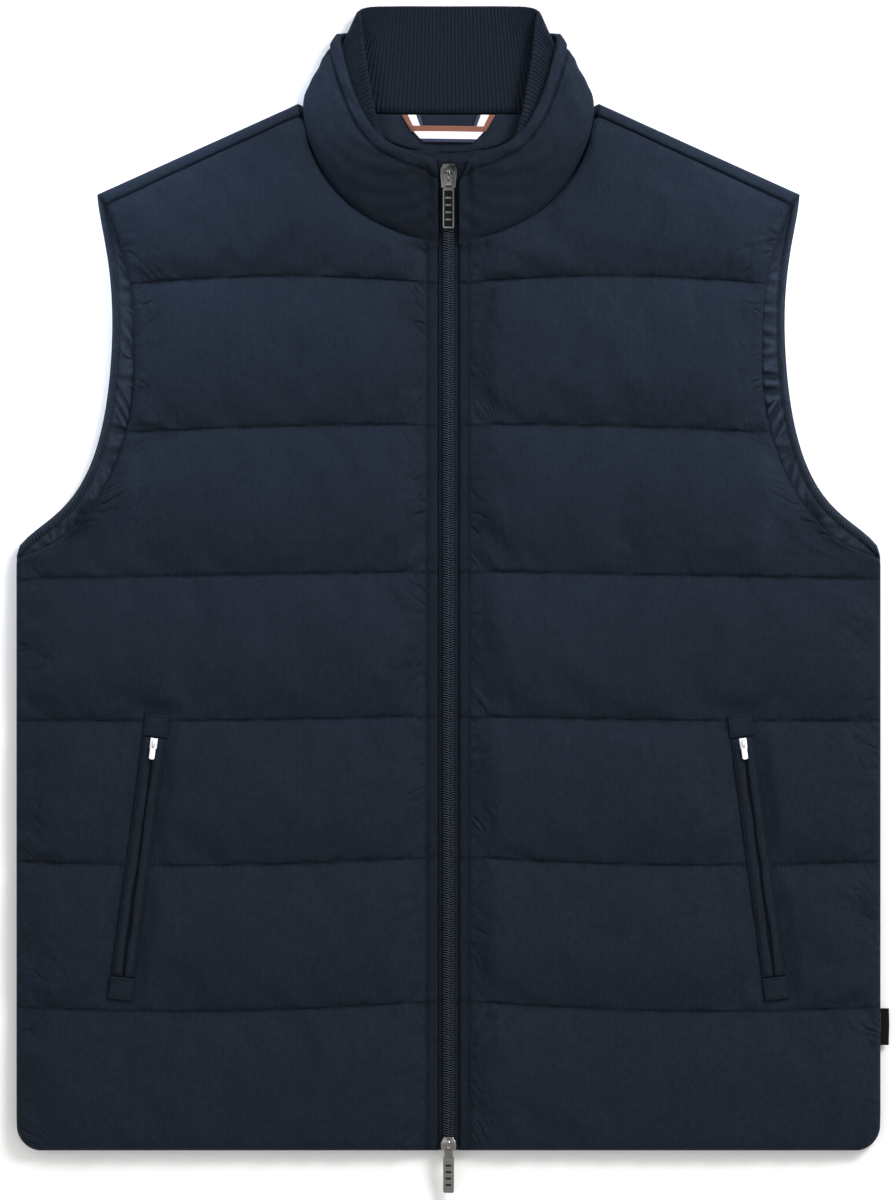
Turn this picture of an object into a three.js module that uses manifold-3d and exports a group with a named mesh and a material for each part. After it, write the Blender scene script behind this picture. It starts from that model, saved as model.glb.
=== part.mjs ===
// Quilted sleeveless jacket, zipped up and laid flat on its back.
//
// Millimetres. +X is to the right as seen from above, +Y runs from the hem to the collar and +Z
// points up off the surface. Heights up the garment are measured from the hem and moved to the
// origin at the end. Left and right are the viewer's. The right half is worked out, and the left
// half mirrors it.

import * as THREE from 'three';
import { mergeVertices } from 'three/addons/utils/BufferGeometryUtils.js';
import Module from 'manifold-3d';

const wasm = await Module();
wasm.setup();

// Driving sizes of the garment laid flat.
const ORIGIN_UP = 370;
const HALF_CHEST = 279.7;
const HEM_CORNER = 16;
const SEAM_GAP = 0.3;

// The shell: the back lies on the surface, and the fronts lie on the back.
const BACK_THICK = 7;
const FRONT_INSIDE = BACK_THICK + SEAM_GAP;
const SEAM_THICK = 3.2;
const PUFF = 7.5;
const HEM_FULLNESS = 0.35;
const NECK_EDGE_LIFT = 2.4;

// The centre front: half the gap that shows the zip, and the pressed edge out to its topstitching.
const ZIP_EDGE = 6.6;
const TOPSTITCH = 6.9;

// The quilting seams of a front, from the hem up: heights at the zip, in the middle and at the side.
const QUILT_SEAMS = [
  { zip: 97.7, middle: 90.5, side: 93.5 },
  { zip: 190.8, middle: 185.0, side: 187.5 },
  { zip: 281.6, middle: 278.7, side: 278.5 },
  { zip: 375.1, middle: 372.5, side: 370.0 },
  { zip: 470.2, middle: 468.8, side: 465.0 },
  { zip: 562.0, middle: 565.9, side: 561.0 },
];

// The largest folds of a front, as troughs: both ends, depth and half width.
const FOLDS = [
  { x1: 211, y1: 456, x2: 202, y2: 382, depth: 2.2, reach: 9 },
  { x1: 236, y1: 410, x2: 254, y2: 376, depth: 2.0, reach: 9 },
];

// The pocket: a slanting slit between two welts, closed by a square tab at each end.
const POCKET = { x: 200.3, y: 190.1, slant: 7.56, halfLength: 78.3, tab: 15 };
const POCKET_LIFT = 0.8;
const POCKET_FLAT = 9.5;
const POCKET_REACH = 20;

// The zip: its tape's path up the centre, which climbs with the collar.
const ZIP_PATH = [
  { y: 0.8, z: 7.6 },
  { y: 575, z: 7.6 },
  { y: 592, z: 9.4 },
  { y: 641, z: 21.5 },
];
const TAPE_THICK = 1;
const TAPE_EDGE = ZIP_EDGE - SEAM_GAP;
const CHAIN_HALF = 3.5;
const CHAIN_RISE = 2.3;
const CHAIN_TOP = TAPE_THICK + SEAM_GAP + CHAIN_RISE;
const CHAIN_END = 634;

// The outer collar's wall, half way round from the centre back to the zip: the middle of the
// wall at the neck seam and at the top edge.
const COLLAR = [
  { seam: [0, 671.2, 2.0], top: [0, 724.0, 2.0] },
  { seam: [45, 671.8, 2.0], top: [36, 723.5, 2.0] },
  { seam: [80, 672.9, 2.1], top: [58, 721.5, 2.1] },
  { seam: [89.2, 674.3, 3.9], top: [66.0, 720.3, 3.9] },
  { seam: [93.0, 675.5, 8.0], top: [69.4, 719.4, 8.4] },
  { seam: [92.8, 671.6, 12.2], top: [68.3, 714.5, 13.6] },
  { seam: [91.6, 662.0, 13.5], top: [65.6, 700.0, 16.6] },
  { seam: [87.8, 650.5, 13.5], top: [61.8, 687.0, 18.3] },
  { seam: [80.2, 635.8, 13.3], top: [55.8, 673.0, 19.8] },
  { seam: [69.0, 619.9, 13.0], top: [48.8, 661.3, 21.2] },
  { seam: [54.4, 606.4, 12.7], top: [39.8, 652.8, 22.4] },
  { seam: [37.7, 597.9, 12.4], top: [28.5, 646.8, 23.4] },
  { seam: [22.9, 592.4, 12.2], top: [17.9, 643.2, 24.0] },
  { seam: [13.5, 589.6, 12.0], top: [12.4, 641.8, 24.3] },
  { seam: [ZIP_EDGE, 587.8, 12.0], top: [ZIP_EDGE, 640.4, 24.4] },
];
const COLLAR_INNER = 1.5;

// The outer collar's fullness from the seam up, with the topstitching below the rolled top edge.
const COLLAR_PROFILE = [
  { share: 0.0, out: 1.5 },
  { share: 0.06, out: 2.3 },
  { share: 0.3, out: 3.0 },
  { share: 0.65, out: 2.9 },
  { share: 0.85, out: 1.7 },
  { share: 0.92, out: 2.5 },
  { share: 0.98, out: 2.0 },
  { share: 1.0, out: 0.8 },
];

// The ribbed collar inside it, measured the same way.
const RIB_COLLAR = [
  { seam: [0, 671.4, 5.6], top: [0, 739.4, 5.6] },
  { seam: [45, 672.0, 5.6], top: [38, 739.4, 5.6] },
  { seam: [74, 673.2, 5.6], top: [51.0, 738.9, 5.9] },
  { seam: [83.0, 673.9, 6.1], top: [55.9, 737.6, 7.4] },
  { seam: [86.4, 674.3, 7.6], top: [57.6, 735.4, 9.8] },
  { seam: [86.6, 672.0, 9.3], top: [55.6, 731.5, 12.2] },
  { seam: [87.0, 661.5, 9.5], top: [54.9, 720.0, 13.6] },
  { seam: [84.4, 651.0, 9.6], top: [53.0, 705.0, 14.8] },
  { seam: [77.2, 637.4, 9.5], top: [50.6, 690.0, 15.8] },
  { seam: [66.6, 622.4, 9.3], top: [46.4, 668.0, 17.2] },
  { seam: [53.0, 609.3, 9.0], top: [40.0, 651.2, 18.4] },
  { seam: [36.9, 600.8, 8.9], top: [28.4, 643.6, 19.2] },
  { seam: [22.4, 595.3, 8.8], top: [18.0, 640.0, 19.8] },
  { seam: [7.6, 591.0, 8.8], top: [7.6, 637.0, 20.2] },
];
const RIB_PITCH = 2.5;
const RIB_WALL = 1.1;
const RIB_RISE = 0.35;

// Armhole facings, gathered along the armhole's edge.
const FACING_THICK = 1.6;
const GATHER_PITCH = 9;
const GATHER_RISE = 0.5;

const COLORS = {
  cloth: 0x232a36,
  yoke: 0x2a303f,
  rib: 0x1c232d,
  facing: 0x29303a,
  lining: 0x1a1f2a,
  tape: 0x1b2230,
  ribbon: 0xa87a62,
  steel: 0xb9bcc0,
  darkSteel: 0x6c7076,
  white: 0xe8e7ec,
  label: 0x16181b,
};

/** A material of the given colour: matt cloth unless told otherwise. */
function material(color, roughness = 0.9, metalness = 0) {
  return new THREE.MeshStandardMaterial({ color, roughness, metalness });
}

const smooth = (low, high, value) => THREE.MathUtils.smoothstep(value, low, high);
const mix = THREE.MathUtils.lerp;
const vector = (x, y, z) => new THREE.Vector3(x, y, z);
const flat = (x, y) => new THREE.Vector2(x, y);

/** A closed body from points and triangles, turned so that its faces point out. */
function solid(points, triangles) {
  let sixVolumes = 0;
  for (const [a, b, c] of triangles) {
    sixVolumes += points[a].dot(vector(0, 0, 0).crossVectors(points[b], points[c]));
  }
  const turned = sixVolumes < 0 ? triangles.map(([a, b, c]) => [a, c, b]) : triangles;
  const geometry = new THREE.BufferGeometry();
  const positions = points.flatMap((point) => point.toArray());
  geometry.setAttribute('position', new THREE.Float32BufferAttribute(positions, 3));
  geometry.setIndex(turned.flat());
  geometry.computeVertexNormals();
  return geometry;
}

/** The mirror image of a body across the centre line. */
function mirrored(geometry) {
  const merged = bare(geometry);
  const source = merged.getAttribute('position');
  const index = merged.getIndex();
  const points = [];
  const triangles = [];
  for (let i = 0; i < source.count; i += 1) {
    points.push(vector(-source.getX(i), source.getY(i), source.getZ(i)));
  }
  for (let i = 0; i < index.count; i += 3) {
    triangles.push([index.getX(i), index.getX(i + 1), index.getX(i + 2)]);
  }
  return solid(points, triangles);
}

/** A wall between two grids of points of the same size, closed all round its border. */
function wall(outer, inner) {
  const rows = outer.length;
  const columns = outer[0].length;
  const at = (side, row, column) => (side * rows + row) * columns + column;
  const triangles = [];
  const quad = (a, b, c, d) => triangles.push([a, b, c], [a, c, d]);
  for (let row = 0; row < rows - 1; row += 1) {
    for (let column = 0; column < columns - 1; column += 1) {
      quad(at(0, row, column), at(0, row, column + 1),
        at(0, row + 1, column + 1), at(0, row + 1, column));
      quad(at(1, row, column), at(1, row + 1, column),
        at(1, row + 1, column + 1), at(1, row, column + 1));
    }
  }
  const border = gridBorder(rows, columns);
  border.forEach(([row, column], i) => {
    const [nextRow, nextColumn] = border[(i + 1) % border.length];
    quad(at(0, nextRow, nextColumn), at(0, row, column),
      at(1, row, column), at(1, nextRow, nextColumn));
  });
  return solid([...outer.flat(), ...inner.flat()], triangles);
}

/** The rows and columns of a grid's border points, once round. */
function gridBorder(rows, columns) {
  const border = [];
  for (let column = 0; column < columns - 1; column += 1) border.push([0, column]);
  for (let row = 0; row < rows - 1; row += 1) border.push([row, columns - 1]);
  for (let column = columns - 1; column > 0; column -= 1) border.push([rows - 1, column]);
  for (let row = rows - 1; row > 0; row -= 1) border.push([row, 0]);
  return border;
}

/** A panel with a shaped top, given as a grid of points, over a flat inside at one height. */
function panel(top, insideZ) {
  const lastRow = top.length - 1;
  const lastColumn = top[0].length - 1;
  const columns = lastColumn + 1;
  const points = top.flat();
  const triangles = [];
  const quad = (a, b, c, d) => triangles.push([a, b, c], [a, c, d]);
  const upper = (row, column) => row * columns + column;
  const lowerIndex = new Map();
  const border = gridBorder(top.length, columns);
  for (const [row, column] of border) {
    lowerIndex.set(upper(row, column), points.length);
    const { x, y } = top[row][column];
    points.push(vector(x, y, insideZ));
  }
  const lower = (row, column) => lowerIndex.get(upper(row, column));

  for (let row = 0; row < lastRow; row += 1) {
    for (let column = 0; column < lastColumn; column += 1) {
      quad(upper(row, column), upper(row, column + 1),
        upper(row + 1, column + 1), upper(row + 1, column));
    }
  }
  border.forEach(([row, column], i) => {
    const [nextRow, nextColumn] = border[(i + 1) % border.length];
    quad(upper(nextRow, nextColumn), upper(row, column),
      lower(row, column), lower(nextRow, nextColumn));
  });

  // The inside: a fan over the lowest row, a strip up the panel, and a fan under the top row.
  for (let column = 0; column < lastColumn; column += 1) {
    triangles.push([lower(1, 0), lower(0, column + 1), lower(0, column)]);
    triangles.push([lower(lastRow - 1, lastColumn), lower(lastRow, column), lower(lastRow, column + 1)]);
  }
  triangles.push([lower(1, 0), lower(1, lastColumn), lower(0, lastColumn)]);
  triangles.push([lower(lastRow - 1, 0), lower(lastRow, 0), lower(lastRow - 1, lastColumn)]);
  for (let row = 1; row < lastRow - 1; row += 1) {
    quad(lower(row + 1, 0), lower(row + 1, lastColumn), lower(row, lastColumn), lower(row, 0));
  }
  return solid(points, triangles);
}

/** A body through closed rings of points, one after another, with flat ends. */
function loft(rings) {
  const size = rings[0].length;
  const triangles = [];
  for (let ring = 0; ring < rings.length - 1; ring += 1) {
    for (let i = 0; i < size; i += 1) {
      const next = (i + 1) % size;
      const here = ring * size;
      const there = here + size;
      triangles.push([here + i, here + next, there + next], [here + i, there + next, there + i]);
    }
  }
  const last = (rings.length - 1) * size;
  for (let i = 1; i < size - 1; i += 1) {
    triangles.push([0, i + 1, i], [last, last + i, last + i + 1]);
  }
  return solid(rings.flat(), triangles);
}

/** A flat plate of the given outline, from one height to another. */
function plate(shape, low, high) {
  const geometry = new THREE.ExtrudeGeometry(shape, {
    depth: high - low,
    bevelEnabled: false,
    curveSegments: 6,
  });
  return geometry.translate(0, 0, low);
}

/** A closed outline through the given points. */
const outline = (points) => new THREE.Shape(points.map(([x, y]) => flat(x, y)));

/** A rectangle as an outline. */
function rectangle(left, bottom, right, top) {
  return outline([[left, bottom], [right, bottom], [right, top], [left, top]]);
}

/** A geometry's positions alone, with the points that triangles share merged. */
function bare(geometry) {
  const copy = geometry.clone();
  copy.deleteAttribute('normal');
  copy.deleteAttribute('uv');
  return mergeVertices(copy, 1e-4);
}

/** A geometry as a solid that can be joined or cut. */
function asManifold(geometry) {
  const merged = bare(geometry);
  return new wasm.Manifold(new wasm.Mesh({
    numProp: 3,
    vertProperties: new Float32Array(merged.getAttribute('position').array),
    triVerts: new Uint32Array(merged.getIndex().array),
  }));
}

/** A joined or cut solid as a geometry again. */
function asGeometry(manifold) {
  const mesh = manifold.getMesh();
  const geometry = new THREE.BufferGeometry();
  geometry.setAttribute('position', new THREE.Float32BufferAttribute(mesh.vertProperties, 3));
  geometry.setIndex([...mesh.triVerts]);
  geometry.computeVertexNormals();
  return geometry;
}

/** Several overlapping geometries joined into one body. */
function joined(geometries) {
  return asGeometry(geometries.map(asManifold).reduce((whole, piece) => whole.add(piece)));
}

// Outlines of the right half, as seen from above.

const sideLine = (top) => new THREE.LineCurve(flat(HALF_CHEST, HEM_CORNER), flat(HALF_CHEST, top));

/** The hem's rounded corner. */
function hemCorner() {
  const pull = HEM_CORNER * 0.448;
  return new THREE.CubicBezierCurve(
    flat(HALF_CHEST - HEM_CORNER, 0),
    flat(HALF_CHEST - pull, 0),
    flat(HALF_CHEST, pull),
    flat(HALF_CHEST, HEM_CORNER),
  );
}

const SHOULDER_TIP = flat(226.7, 616.3);
const SHOULDER_NECK = flat(96.8, 676.2);
const BACK_UNDERARM = 388.7;
const backArmhole = new THREE.CurvePath();
backArmhole.add(new THREE.CubicBezierCurve(
  flat(HALF_CHEST, BACK_UNDERARM), flat(263.5, 413.9), flat(224.3, 407.1), flat(218.3, 518)));
backArmhole.add(new THREE.CubicBezierCurve(
  flat(218.3, 518), flat(215.6, 572), flat(225.6, 594.5), SHOULDER_TIP));

const FRONT_UNDERARM = 384;
const FRONT_TIP = flat(221.5, 611.8);
const FRONT_NECK = flat(94.4, 670.3);
const frontArmhole = new THREE.CurvePath();
frontArmhole.add(new THREE.CubicBezierCurve(
  flat(HALF_CHEST, FRONT_UNDERARM), flat(229.9, 392), flat(199, 459.3), flat(203.5, 520)));
frontArmhole.add(new THREE.CubicBezierCurve(
  flat(203.5, 520), flat(201.2, 563.8), flat(214.9, 594.9), FRONT_TIP));

const frontSide = new THREE.CurvePath();
frontSide.add(hemCorner());
frontSide.add(sideLine(FRONT_UNDERARM));
frontArmhole.curves.forEach((curve) => frontSide.add(curve));

const neckSeam = new THREE.CubicBezierCurve(
  flat(ZIP_EDGE, 587.2), flat(54, 596), flat(89.6, 621), FRONT_NECK);
const frontTop = new THREE.CurvePath();
frontTop.add(neckSeam);
frontTop.add(new THREE.LineCurve(FRONT_NECK, FRONT_TIP));

/** How far along the front's side edge a height is reached, as a share of its length. */
function shareAtHeight(height) {
  let low = 0;
  let high = 1;
  for (let step = 0; step < 40; step += 1) {
    const middle = (low + high) / 2;
    if (frontSide.getPoint(middle).y < height) low = middle;
    else high = middle;
  }
  return low;
}

// The front panels.

// The columns of a front's grid. Their places are measured from the zip's edge, from the line
// through the pocket, from the side edge, or as a share between two of these. Each has the
// thickness at a seam and its share of the padding's puff.
const COLUMNS = [
  { from: 'zip', mm: 0, thick: SEAM_THICK, puff: 0 },
  { from: 'zip', mm: 3.4, thick: 3.5, puff: 0 },
  { from: 'zip', mm: TOPSTITCH, thick: 2.9, puff: 0 },
  { from: 'zip', mm: 11, thick: SEAM_THICK, puff: 0.42 },
  { from: 'zip', mm: 24, thick: SEAM_THICK, puff: 0.86 },
  { from: 'inner', share: 0.33, thick: SEAM_THICK, puff: 1 },
  { from: 'inner', share: 0.67, thick: SEAM_THICK, puff: 1 },
  { from: 'pocket', mm: -POCKET_REACH, thick: SEAM_THICK, puff: 1 },
  { from: 'pocket', mm: -POCKET_FLAT, thick: SEAM_THICK, puff: 1 },
  { from: 'pocket', mm: 0, thick: SEAM_THICK, puff: 1 },
  { from: 'pocket', mm: POCKET_FLAT, thick: SEAM_THICK, puff: 1 },
  { from: 'pocket', mm: POCKET_REACH, thick: SEAM_THICK, puff: 1 },
  { from: 'outer', share: 0.5, thick: SEAM_THICK, puff: 1 },
  { from: 'side', mm: 14, thick: SEAM_THICK, puff: 0.92 },
  { from: 'side', mm: 5, thick: SEAM_THICK, puff: 0.7 },
  { from: 'side', mm: 1.2, thick: SEAM_THICK, puff: 0.36 },
  { from: 'side', mm: 0, thick: 1.8, puff: 0.12 },
];
const ROWS = [0, 0.05, 0.17, 0.37, 0.63, 0.83, 0.95];
const CORNER_ROWS = [0.12, 0.22];

// The line through the pocket, carried up to where the neck meets the shoulder.
const POCKET_LINE = [
  { y: 0, x: 224 },
  { y: 93.5, x: 213.1 },
  { y: 187.5, x: 200.6 },
  { y: 278.5, x: 188.6 },
  { y: 370, x: 176 },
  { y: 465, x: 138 },
  { y: 561, x: 124 },
];

/** Where the columns stand along an edge of the given width, as shares of it. */
function columnShares(width, pocketAt) {
  const firstInner = 24;
  const lastOuter = 14;
  return COLUMNS.map(({ from, mm, share }) => {
    if (from === 'zip') return mm / width;
    if (from === 'pocket') return (pocketAt + mm) / width;
    if (from === 'side') return 1 - mm / width;
    if (from === 'inner') return mix(firstInner, pocketAt - POCKET_REACH, share) / width;
    return mix(pocketAt + POCKET_REACH, width - lastOuter, share) / width;
  });
}

/** The edges across a front: the hem, each quilting seam and the neck with the shoulder. */
function crossEdges() {
  const levels = [{ zip: 0, middle: 0, side: 0 }, ...QUILT_SEAMS];
  const edges = levels.map(({ zip, middle, side }, i) => {
    const end = frontSide.getPoint(shareAtHeight(Math.max(side, 1e-6)));
    const width = end.x - ZIP_EDGE;
    const point = (share) => {
      const bow = middle - (zip + side) / 2;
      return flat(ZIP_EDGE + share * width, mix(zip, side, share) + 4 * bow * share * (1 - share));
    };
    return { point, shares: columnShares(width, POCKET_LINE[i].x - ZIP_EDGE), zip, side };
  });
  const neckLength = neckSeam.getLength();
  const topLength = frontTop.getLength();
  edges.push({
    point: (share) => frontTop.getPoint(share),
    shares: columnShares(topLength, neckLength),
    zip: neckSeam.v0.y,
    side: FRONT_TIP.y,
  });
  return edges;
}

/** How flat the pocket presses the padding at a place: 1 on its pieces, 0 away from them. */
function pocketPress(x, y) {
  const slant = THREE.MathUtils.degToRad(POCKET.slant);
  const dx = x - POCKET.x;
  const dy = y - POCKET.y;
  const across = Math.abs(dx * Math.cos(slant) + dy * Math.sin(slant));
  const along = Math.abs(dy * Math.cos(slant) - dx * Math.sin(slant));
  const end = POCKET.halfLength + POCKET.tab + 2;
  return (1 - smooth(POCKET_FLAT, POCKET_REACH, across)) * (1 - smooth(end, end + 15, along));
}

/** How deep the largest folds are at a place. */
function foldDepth(x, y) {
  let depth = 0;
  for (const fold of FOLDS) {
    const run = flat(fold.x2 - fold.x1, fold.y2 - fold.y1);
    const here = flat(x - fold.x1, y - fold.y1);
    const along = here.dot(run) / run.lengthSq();
    const across = Math.abs(here.cross(run)) / run.length();
    const taper = smooth(-0.1, 0.3, along) * (1 - smooth(0.7, 1.1, along));
    depth += fold.depth * taper * Math.exp(-((across / fold.reach) ** 2));
  }
  return depth;
}

/** The right front: a pillow between each two quilting seams, over a plain inside. */
function frontPanel() {
  const edges = crossEdges();
  const top = [];
  for (let band = 0; band < edges.length - 1; band += 1) {
    const low = edges[band];
    const high = edges[band + 1];
    const startShare = shareAtHeight(low.side);
    const endShare = band === edges.length - 2 ? 1 : shareAtHeight(high.side);
    const rows = [...ROWS];
    if (band === 0) rows.push(...CORNER_ROWS);
    const underarm = (shareAtHeight(FRONT_UNDERARM) - startShare) / (endShare - startShare);
    if (underarm > 0 && underarm < 1) rows.push(underarm);
    if (band === edges.length - 2) rows.push(1);
    rows.sort((a, b) => a - b);
    for (const row of rows) {
      top.push(bandRow(low, high, frontSide.getPoint(mix(startShare, endShare, row)), row, band));
    }
  }
  return panel(top, FRONT_INSIDE);
}

/** One row of points of a front, at a share of the way up a band between two edges. */
function bandRow(low, high, sidePoint, row, band) {
  const zipDrift = flat(ZIP_EDGE, mix(low.zip, high.zip, row))
    .sub(low.point(0).lerp(high.point(0), row));
  const sideDrift = sidePoint.clone().sub(low.point(1).lerp(high.point(1), row));
  const isHem = band === 0 && row < 0.5;
  const isYoke = high.side === FRONT_TIP.y;
  const rounded = (1 - Math.abs(2 * row - 1) ** 2.6) ** 0.62;
  const pillow = isHem ? Math.max(rounded, HEM_FULLNESS) : rounded;
  return COLUMNS.map(({ thick, puff }, column) => {
    const across = mix(low.shares[column], high.shares[column], row);
    const place = low.point(low.shares[column]).lerp(high.point(high.shares[column]), row);
    place.addScaledVector(zipDrift, 1 - across).addScaledVector(sideDrift, across);
    const press = pocketPress(place.x, place.y);
    const padding = Math.max(PUFF * puff * pillow - foldDepth(place.x, place.y) * puff, 0);
    const neckLift = isYoke ? NECK_EDGE_LIFT * smooth(0.6, 1, row) * Math.min(1, 4 * (1 - across)) : 0;
    const height = thick + mix(padding, POCKET_LIFT, press) + neckLift;
    return vector(place.x, place.y, FRONT_INSIDE + height);
  });
}

// The back.

/** The back: a flat wall with rounded edges, whose shoulders roll forward over the fold. */
function backPanel() {
  const points = hemCorner().getPoints(5);
  backArmhole.curves.forEach((curve) => points.push(...curve.getSpacedPoints(9)));
  points.push(SHOULDER_NECK, flat(87.5, 672.4));
  const right = points.filter((point, i) => i === 0 || point.distanceTo(points[i - 1]) > 1e-3);
  const left = right.map(({ x, y }) => flat(-x, y)).reverse();
  const ring = [...right, flat(0, 670.8), ...left];

  // The edge's section: how far in from the outline it lies at each height.
  const edge = [
    { z: 0, inset: 1.6 },
    { z: 1.8, inset: 0 },
    { z: 5.4, inset: 0 },
    { z: BACK_THICK, inset: 1.4 },
  ];
  const rings = edge.map(({ z, inset }) => insetRing(ring, inset).map(({ x, y }) => vector(x, y, z)));
  const size = ring.length;
  const triangles = [];
  for (let level = 0; level < rings.length - 1; level += 1) {
    for (let i = 0; i < size; i += 1) {
      const next = (i + 1) % size;
      const here = level * size;
      const there = here + size;
      triangles.push([here + i, here + next, there + next], [here + i, there + next, there + i]);
    }
  }
  const capOf = (level) => THREE.ShapeUtils
    .triangulateShape(rings[level].map(({ x, y }) => flat(x, y)), [])
    .map((triangle) => triangle.map((index) => index + level * size));
  const lastLevel = rings.length - 1;
  triangles.push(...capOf(0).map(([a, b, c]) => [a, c, b]), ...capOf(lastLevel));
  const slab = solid(rings.flat(), triangles);
  const lip = shoulderLip();
  return joined([slab, lip, mirrored(lip)]);
}

/** A closed outline moved inwards by a distance, corner by corner. */
function insetRing(ring, distance) {
  return ring.map((point, i) => {
    const before = ring[(i + ring.length - 1) % ring.length];
    const after = ring[(i + 1) % ring.length];
    const first = point.clone().sub(before).normalize();
    const second = after.clone().sub(point).normalize();
    const inward = flat(-first.y - second.y, first.x + second.x).normalize();
    const spread = Math.max(inward.dot(flat(-first.y, first.x)), 0.6);
    return point.clone().addScaledVector(inward, distance / spread);
  });
}

/** The back's roll over the right shoulder, from the fold to the forward shoulder seam. */
function shoulderLip() {
  const ends = [
    { fold: SHOULDER_NECK, seam: flat(95.4, 670.7) },
    { fold: SHOULDER_TIP, seam: flat(221.9, 612.2) },
  ];
  const section = [
    { share: 0, z: 4 },
    { share: 0, z: 8 },
    { share: 0.14, z: 10.4 },
    { share: 0.4, z: 11.8 },
    { share: 1, z: 11.8 },
    { share: 1, z: 6 },
  ];
  return loft(ends.map(({ fold, seam }) => section.map(({ share, z }) => {
    const place = fold.clone().lerp(seam, share);
    return vector(place.x, place.y, z);
  })));
}

// The collars.

/** A collar's wall as a function of the way round and the way up, for the right half. */
function collarSurface(stations) {
  const seam = new THREE.CatmullRomCurve3(stations.map((station) => vector(...station.seam)));
  const top = new THREE.CatmullRomCurve3(stations.map((station) => vector(...station.top)));
  const at = (around, up) => seam.getPoint(around).lerp(top.getPoint(around), up);
  const outward = (around, up) => {
    const step = 1e-3;
    const ahead = at(Math.min(around + step, 1), up);
    const behind = at(Math.max(around - step, 0), up);
    const upward = top.getPoint(around).sub(seam.getPoint(around));
    const along = ahead.sub(behind);
    if (around < step) along.set(1, 0, 0);
    return along.cross(upward).normalize().negate();
  };
  return { at, outward };
}

/** Ways round a collar's half that are evenly spaced at half its height. */
function evenSteps(surface, count) {
  const samples = 600;
  const lengths = [0];
  let previous = surface.at(0, 0.5);
  for (let i = 1; i <= samples; i += 1) {
    const here = surface.at(i / samples, 0.5);
    lengths.push(lengths[i - 1] + here.distanceTo(previous));
    previous = here;
  }
  const steps = [];
  let cursor = 0;
  for (let i = 0; i <= count; i += 1) {
    const wanted = (lengths[samples] * i) / count;
    while (cursor < samples - 1 && lengths[cursor + 1] < wanted) cursor += 1;
    const share = (wanted - lengths[cursor]) / (lengths[cursor + 1] - lengths[cursor]);
    steps.push(Math.min((cursor + share) / samples, 1));
  }
  return steps;
}

/** Half the length round a collar at half its height. */
function halfLength(surface) {
  const points = [];
  for (let i = 0; i <= 200; i += 1) points.push(surface.at(i / 200, 0.5));
  return points.slice(1).reduce((sum, point, i) => sum + point.distanceTo(points[i]), 0);
}

/** A right half's grid, with its mirror image before it, as one grid from end to end. */
function bothHalves(half) {
  const left = half.slice(1).reverse().map((row) => row.map(({ x, y, z }) => vector(-x, y, z)));
  return [...left, ...half];
}

/** A collar from its surface, its steps round and its fullness at each step and share up. */
function collarWall(surface, steps, profile) {
  const side = (direction, name) => bothHalves(steps.map((around, i) => profile.map((level) => {
    const offset = direction * level[name](i);
    const point = surface.at(around, level.share)
      .addScaledVector(surface.outward(around, level.share), offset);
    point.z = Math.max(point.z, 0);
    return point;
  })));
  return wall(side(1, 'out'), side(-1, 'inside'));
}

/** The outer collar: padded, with a topstitched roll along its top. */
function outerCollar() {
  const surface = collarSurface(COLLAR);
  const stitched = COLLAR_PROFILE.map(({ share, out }) => ({
    share,
    out: () => out,
    inside: () => COLLAR_INNER,
  }));
  return collarWall(surface, evenSteps(surface, 26), stitched);
}

/** The inner collar: knitted ribs up and down its wall. */
function ribCollar() {
  const surface = collarSurface(RIB_COLLAR);
  const ribs = Math.round(halfLength(surface) / RIB_PITCH);
  const ribbed = (i) => RIB_WALL + (i % 2 === 0 ? RIB_RISE : -RIB_RISE);
  const levels = [0, 0.5, 1].map((share) => ({ share, out: ribbed, inside: ribbed }));
  return collarWall(surface, evenSteps(surface, ribs * 2), levels);
}

// Pieces inside the neck and the armholes.

/** The neck facing, a crescent on the back's inside below the collar. */
function neckFacing() {
  const shape = new THREE.Shape();
  shape.moveTo(-58, 670.3);
  shape.bezierCurveTo(-48, 652, -22, 646, 0, 646);
  shape.bezierCurveTo(22, 646, 48, 652, 58, 670.3);
  shape.closePath();
  return plate(shape, FRONT_INSIDE, FRONT_INSIDE + 1);
}

/** The strip of lining that shows below the neck facing. */
function backLining() {
  const shape = outline([[-30, 620], [30, 620], [30, 645.6], [-30, 645.6]]);
  return plate(shape, FRONT_INSIDE, FRONT_INSIDE + 0.8);
}

/** The hanger loop: a folded ribbon whose two legs start at the neck seam. */
function hangerLoop() {
  const shape = outline([
    [-28.5, 670.3], [-24.2, 661.2], [-15.8, 652], [15.8, 652], [24.2, 661.2], [28.5, 670.3],
    [19.4, 670.3], [17.4, 663.4], [-17.4, 663.4], [-19.4, 670.3],
  ]);
  return plate(shape, FRONT_INSIDE + 1.3, FRONT_INSIDE + 2.5);
}

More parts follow.
